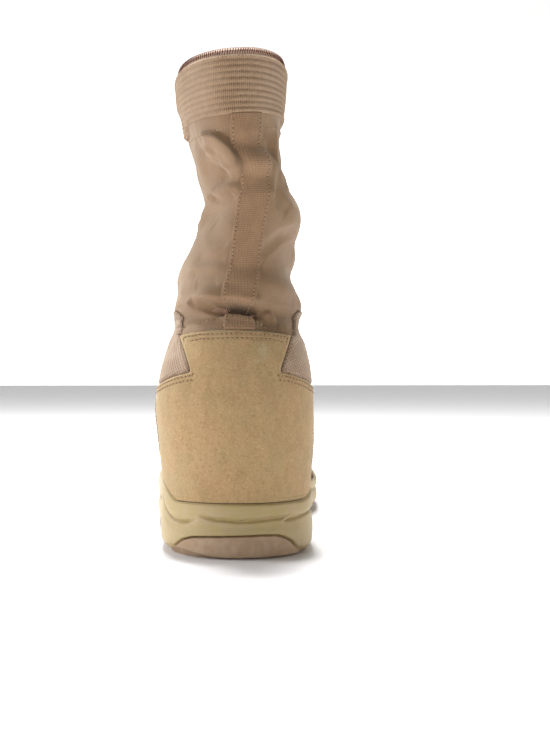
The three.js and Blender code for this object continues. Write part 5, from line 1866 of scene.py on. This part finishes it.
def sew(name, chains, slot, stitch=STITCH, gap=STITCH_GAP, thick=1.0, material="seam_thread",
        shift=0.0):
    """One small closed tube for each stitch along the chains."""
    paths, normals = [], []
    for places, normal in chains:
        way = np.concatenate([[0], np.cumsum(np.linalg.norm(np.diff(places, axis=0), axis=1))])
        count = int(way[-1] / (stitch + gap))
        if count < 2:
            continue
        starts = ((way[-1] - count * (stitch + gap)) / 2 + gap / 2 + shift
                  + np.arange(count) * (stitch + gap))
        at = (starts[:, None] + np.linspace(0, stitch, 5)[None]).ravel()
        spot = np.stack([np.interp(at, way, places[:, k]) for k in range(3)], 1)
        up = np.stack([np.interp(at, way, normal[:, k]) for k in range(3)], 1)
        up /= np.linalg.norm(up, axis=1, keepdims=True)
        spot = spot.reshape(count, 5, 3) + up.reshape(count, 5, 3) * STITCH_RISE[:, None] * thick
        paths.append(spot)
        normals.append(up.reshape(count, 5, 3))
    if not paths:
        return None
    made = tube(name, np.concatenate(paths), np.concatenate(normals),
                STITCH_THICK[:, None, None] * thick, 6)
    dress(made, slot, finish[material])
    print(name, sum(len(part) for part in paths), "stitches")
    return made


# %% [markdown]
# ## Seams of the suede
#
# The needle leaves a hole at both ends of each stitch, and in suede the hole lies in shade. So
# a row is sewn twice: once with thread, and once with short dark spots of painted shade between
# the stitches.

# %% Seams of the suede
COUNTER_SEWN_ABOVE = 40.0
TOE_SEWN_ABOVE = 6.0


def edge_rows(sheet, rows, within=None):
    """The lines that run the given distances inside the sheet's edge."""
    return [chain for row in rows for chain in seam_lines(sheet, sheet["edge"] - row, within)]


counter_place = counter[1]["place"]
sewn = (counter_place[:, 2] > COUNTER_SEWN_ABOVE) & (stitched(counter_place) > 0.5)
sew("stitches_counter", edge_rows(counter[1], SEAM_ROWS, sewn), "suede")
# short dark spots of painted shade at the needle holes
sew("needle_holes", edge_rows(counter[1], SEAM_ROWS, sewn), "suede", 0.6, 1.7, 0.8,
    "needle_hole", 1.15)
toe_place = toe_cap[1]["place"]
above_sole = toe_place[:, 2] > sole_top(toe_place[:, 1]) + TOE_SEWN_ABOVE
sew("stitches_toe", edge_rows(toe_cap[1], SEAM_ROWS, above_sole), "suede")

# %% [markdown]
# ## Seams of the cloths
#
# The strap is sewn along both sides and the band in its two outer ribs. Two more rows cross
# the bare nylon: the hem under the band and the seam of the padded collar over the ankle.
# They stop where the strap covers them.

# %% Seams of the strap, the band and the nylon
STRAP_END, BAND_COVERS = 3.0, 2.2
above_end = strap[1]["place"][:, 2] > COUNTER_TOP + STRAP_END
below_band = above_band_edge(strap[1]["place"]) < -BAND_COVERS
strap_rows = edge_rows(strap[1], (1.5,), above_end & below_band)
sew("stitches_strap", strap_rows, "webbing", 1.35, 0.65, 0.8)
# short dark spots of painted shade at the strap's needle holes
sew("strap_holes", strap_rows, "webbing", 0.5, 1.5, 0.7, "needle_hole", 1.0)
share = band_share(band[1], band[1]["place"]) * BAND_RIBS
band_rows = [chain for row in (0.5, BAND_RIBS - 0.5) for chain in seam_lines(band[1], share - row)]
sew("stitches_band", band_rows, "ribbed_elastic", 1.2, 0.7, 0.6)

HEM_SEAM = [(-110, 212), (-76, 207.8), (-35, 203.3), (-19, 203), (-3.8, 202.7), (18, 205.2),
            (25.5, 206.5), (34, 207.9), (44.6, 209.2), (110, 213)]
COLLAR_SEAM = [(-110, 108), (-45, 108.6), (-37.4, 108.8), (-28.6, 111.1), (-20.4, 112.4),
               (-13.8, 114.3), (-10, 114.5), (8.8, 112.4), (12.2, 110.3), (15.3, 108.8),
               (20.4, 107.7), (110, 107)]


def seam_on_nylon(points):
    """A row at the height that the points give for each s, where the strap doesn't cover it."""
    s, z = upper[1]["s"], upper[1]["place"][:, 2]
    places, heights = np.array(points, float).T
    clear_of_strap = back_strap_field(upper[1], upper[1]["place"]) < 0
    return seam_lines(upper[1], z - np.interp(s, places, heights), clear_of_strap)


sew("stitches_hem", seam_on_nylon(HEM_SEAM), "shaft_nylon", 1.6, 0.7, 0.7)
sew("stitches_collar", seam_on_nylon(COLLAR_SEAM), "shaft_nylon", 1.8, 0.8, 0.9)

# %% [markdown]
# ## Overlocked edge
#
# At the rim the lining's edge is bound by an overlock stitch: threads side by side that slant
# over the edge, dark on a paler edging. Each is one short tube, and the edging is a colour of
# the shell and the lining.

# %% Overlocked edge of the lining
TEETH = 128
TOOTH_TOP = 0.8
TOOTH_FOOT = 4.9
TOOTH_SLANT = 0.5
TOOTH_THICK = np.array([0.17, 0.26, 0.28, 0.26, 0.17])
TOOTH_RISE = np.array([-0.1, 0.25, 0.35, 0.3, -0.1])
BOUND_HALF_TURN = 0.4


def overlocked_edge():
    """Slanted threads side by side over the edge of the lining, each from foot to top."""
    share = np.linspace(0, 1, 5)[None]
    along = (np.arange(TEETH)[:, None] + TOOTH_SLANT * share) / TEETH
    turn = mix(-BOUND_HALF_TURN, BOUND_HALF_TURN, along)
    up = 1 - mix(TOOTH_FOOT, TOOTH_TOP, share + 0 * turn) / SHAFT_HEIGHT
    normal = outward(turn, up)
    return surface(turn, up) + normal * TOOTH_RISE[None, :, None], normal


path, normal = overlocked_edge()
zigzag = tube("overlock_rim", path, normal, TOOTH_THICK[:, None, None], 6)
dress(zigzag, "lining_cloth", finish["rust_thread"])

# %% [markdown]
# ## Floor and light
#
# The boot stands on a plain pale floor. Most of the light comes from the room itself, bright
# low down behind the camera. One lamp at the outer side models the folds, and one above gives
# the floor its brightness and the boot its shadow.

# %% Floor and light
FLOOR_HALF = 5.0
FLOOR_WHITE = (0.78, 0.78, 0.80)
FLOOR_ROUGHNESS = 0.55
ROOM_LOW, ROOM_HIGH, WALL, INNER_SIDE = 1.98, 0.08, 1.0, 0.45
INNER_COLOUR = (1.0, 0.9, 0.72)


def lay_floor():
    """One plain square, in metres. It belongs to the studio and not to the boot."""
    half = FLOOR_HALF
    mesh = bpy.data.meshes.new("floor")
    mesh.from_pydata([(-half, -half, 0), (half, -half, 0), (half, half, 0), (-half, half, 0)], [],
                     [(0, 1, 2, 3)])
    floor = bpy.data.objects.new("floor", mesh)
    bpy.context.collection.objects.link(floor)
    white = bpy.data.materials.new("pale_floor")
    white.use_nodes = True
    shader = white.node_tree.nodes["Principled BSDF"]
    shader.inputs["Base Color"].default_value = (*FLOOR_WHITE, 1)
    shader.inputs["Roughness"].default_value = FLOOR_ROUGHNESS
    mesh.materials.append(white)


def hang_lamp(name, place, aim, size, power):
    """A square lamp, turned so that it looks from its place at the aim."""
    lamp_data = bpy.data.lights.new(name, "AREA")
    lamp_data.shape = "SQUARE"
    lamp_data.size = size
    lamp_data.energy = power
    lamp = bpy.data.objects.new(name, lamp_data)
    lamp.location = place
    direction = np.array(aim) - np.array(place)
    flat = np.hypot(direction[0], direction[1])
    lamp.rotation_euler = (np.arctan2(flat, -direction[2]), 0,
                           np.arctan2(direction[1], direction[0]) - np.pi / 2)
    bpy.context.collection.objects.link(lamp)


def paint_world():
    """A white studio wall in front, at +Y. The room behind the camera is bright low down and
    dim overhead. On the inner side of the boot it is dimmer and warmer, as its pair stands
    there."""
    world = bpy.data.worlds.new("studio")
    world.use_nodes = True
    tree = world.node_tree
    way = tree.nodes.new("ShaderNodeTexCoord").outputs["Generated"]
    parts = tree.nodes.new("ShaderNodeSeparateXYZ")
    tree.links.new(way, parts.inputs[0])

    def span(axis, low, high, to_low, to_high):
        """A smooth step along one axis of the view direction."""
        made = tree.nodes.new("ShaderNodeMapRange")
        made.interpolation_type = "SMOOTHSTEP"
        for key, value in (("Value", parts.outputs[axis]), ("From Min", low), ("From Max", high),
                           ("To Min", to_low), ("To Max", to_high)):
            if isinstance(value, bpy.types.NodeSocket):
                tree.links.new(value, made.inputs[key])
            else:
                made.inputs[key].default_value = value
        return made.outputs[0]

    room = span("Z", 0.05, 0.5, ROOM_LOW, ROOM_HIGH)
    wall = span("Y", -0.2, 0.5, 0, WALL)
    both = tree.nodes.new("ShaderNodeMath")
    both.operation = "MAXIMUM"
    tree.links.new(room, both.inputs[0])
    tree.links.new(wall, both.inputs[1])
    aside = tree.nodes.new("ShaderNodeMath")
    aside.operation = "MULTIPLY"
    tree.links.new(both.outputs[0], aside.inputs[0])
    tree.links.new(span("X", 0.35, 0.9, 1, INNER_SIDE), aside.inputs[1])
    back = tree.nodes["Background"]
    warm = tree.nodes.new("ShaderNodeMix")
    warm.data_type = "RGBA"
    tree.links.new(span("X", 0.2, 0.9, 0, 1), warm.inputs[0])
    warm.inputs[6].default_value = (1, 1, 1, 1)
    warm.inputs[7].default_value = (*INNER_COLOUR, 1)
    tree.links.new(warm.outputs[2], back.inputs["Color"])
    tree.links.new(aside.outputs[0], back.inputs["Strength"])
    bpy.context.scene.world = world


lay_floor()
hang_lamp("window_lamp", (-1.5, 0.1, 1.0), (0, -0.1, 0.12), 0.8, 17)
hang_lamp("top_lamp", (-0.06, 0.24, 1.5), (0, -0.1, 0.05), 0.3, 52)
paint_world()
bpy.context.scene.view_settings.view_transform = "Standard"
print("lamps:", [lamp.name for lamp in bpy.data.lights])
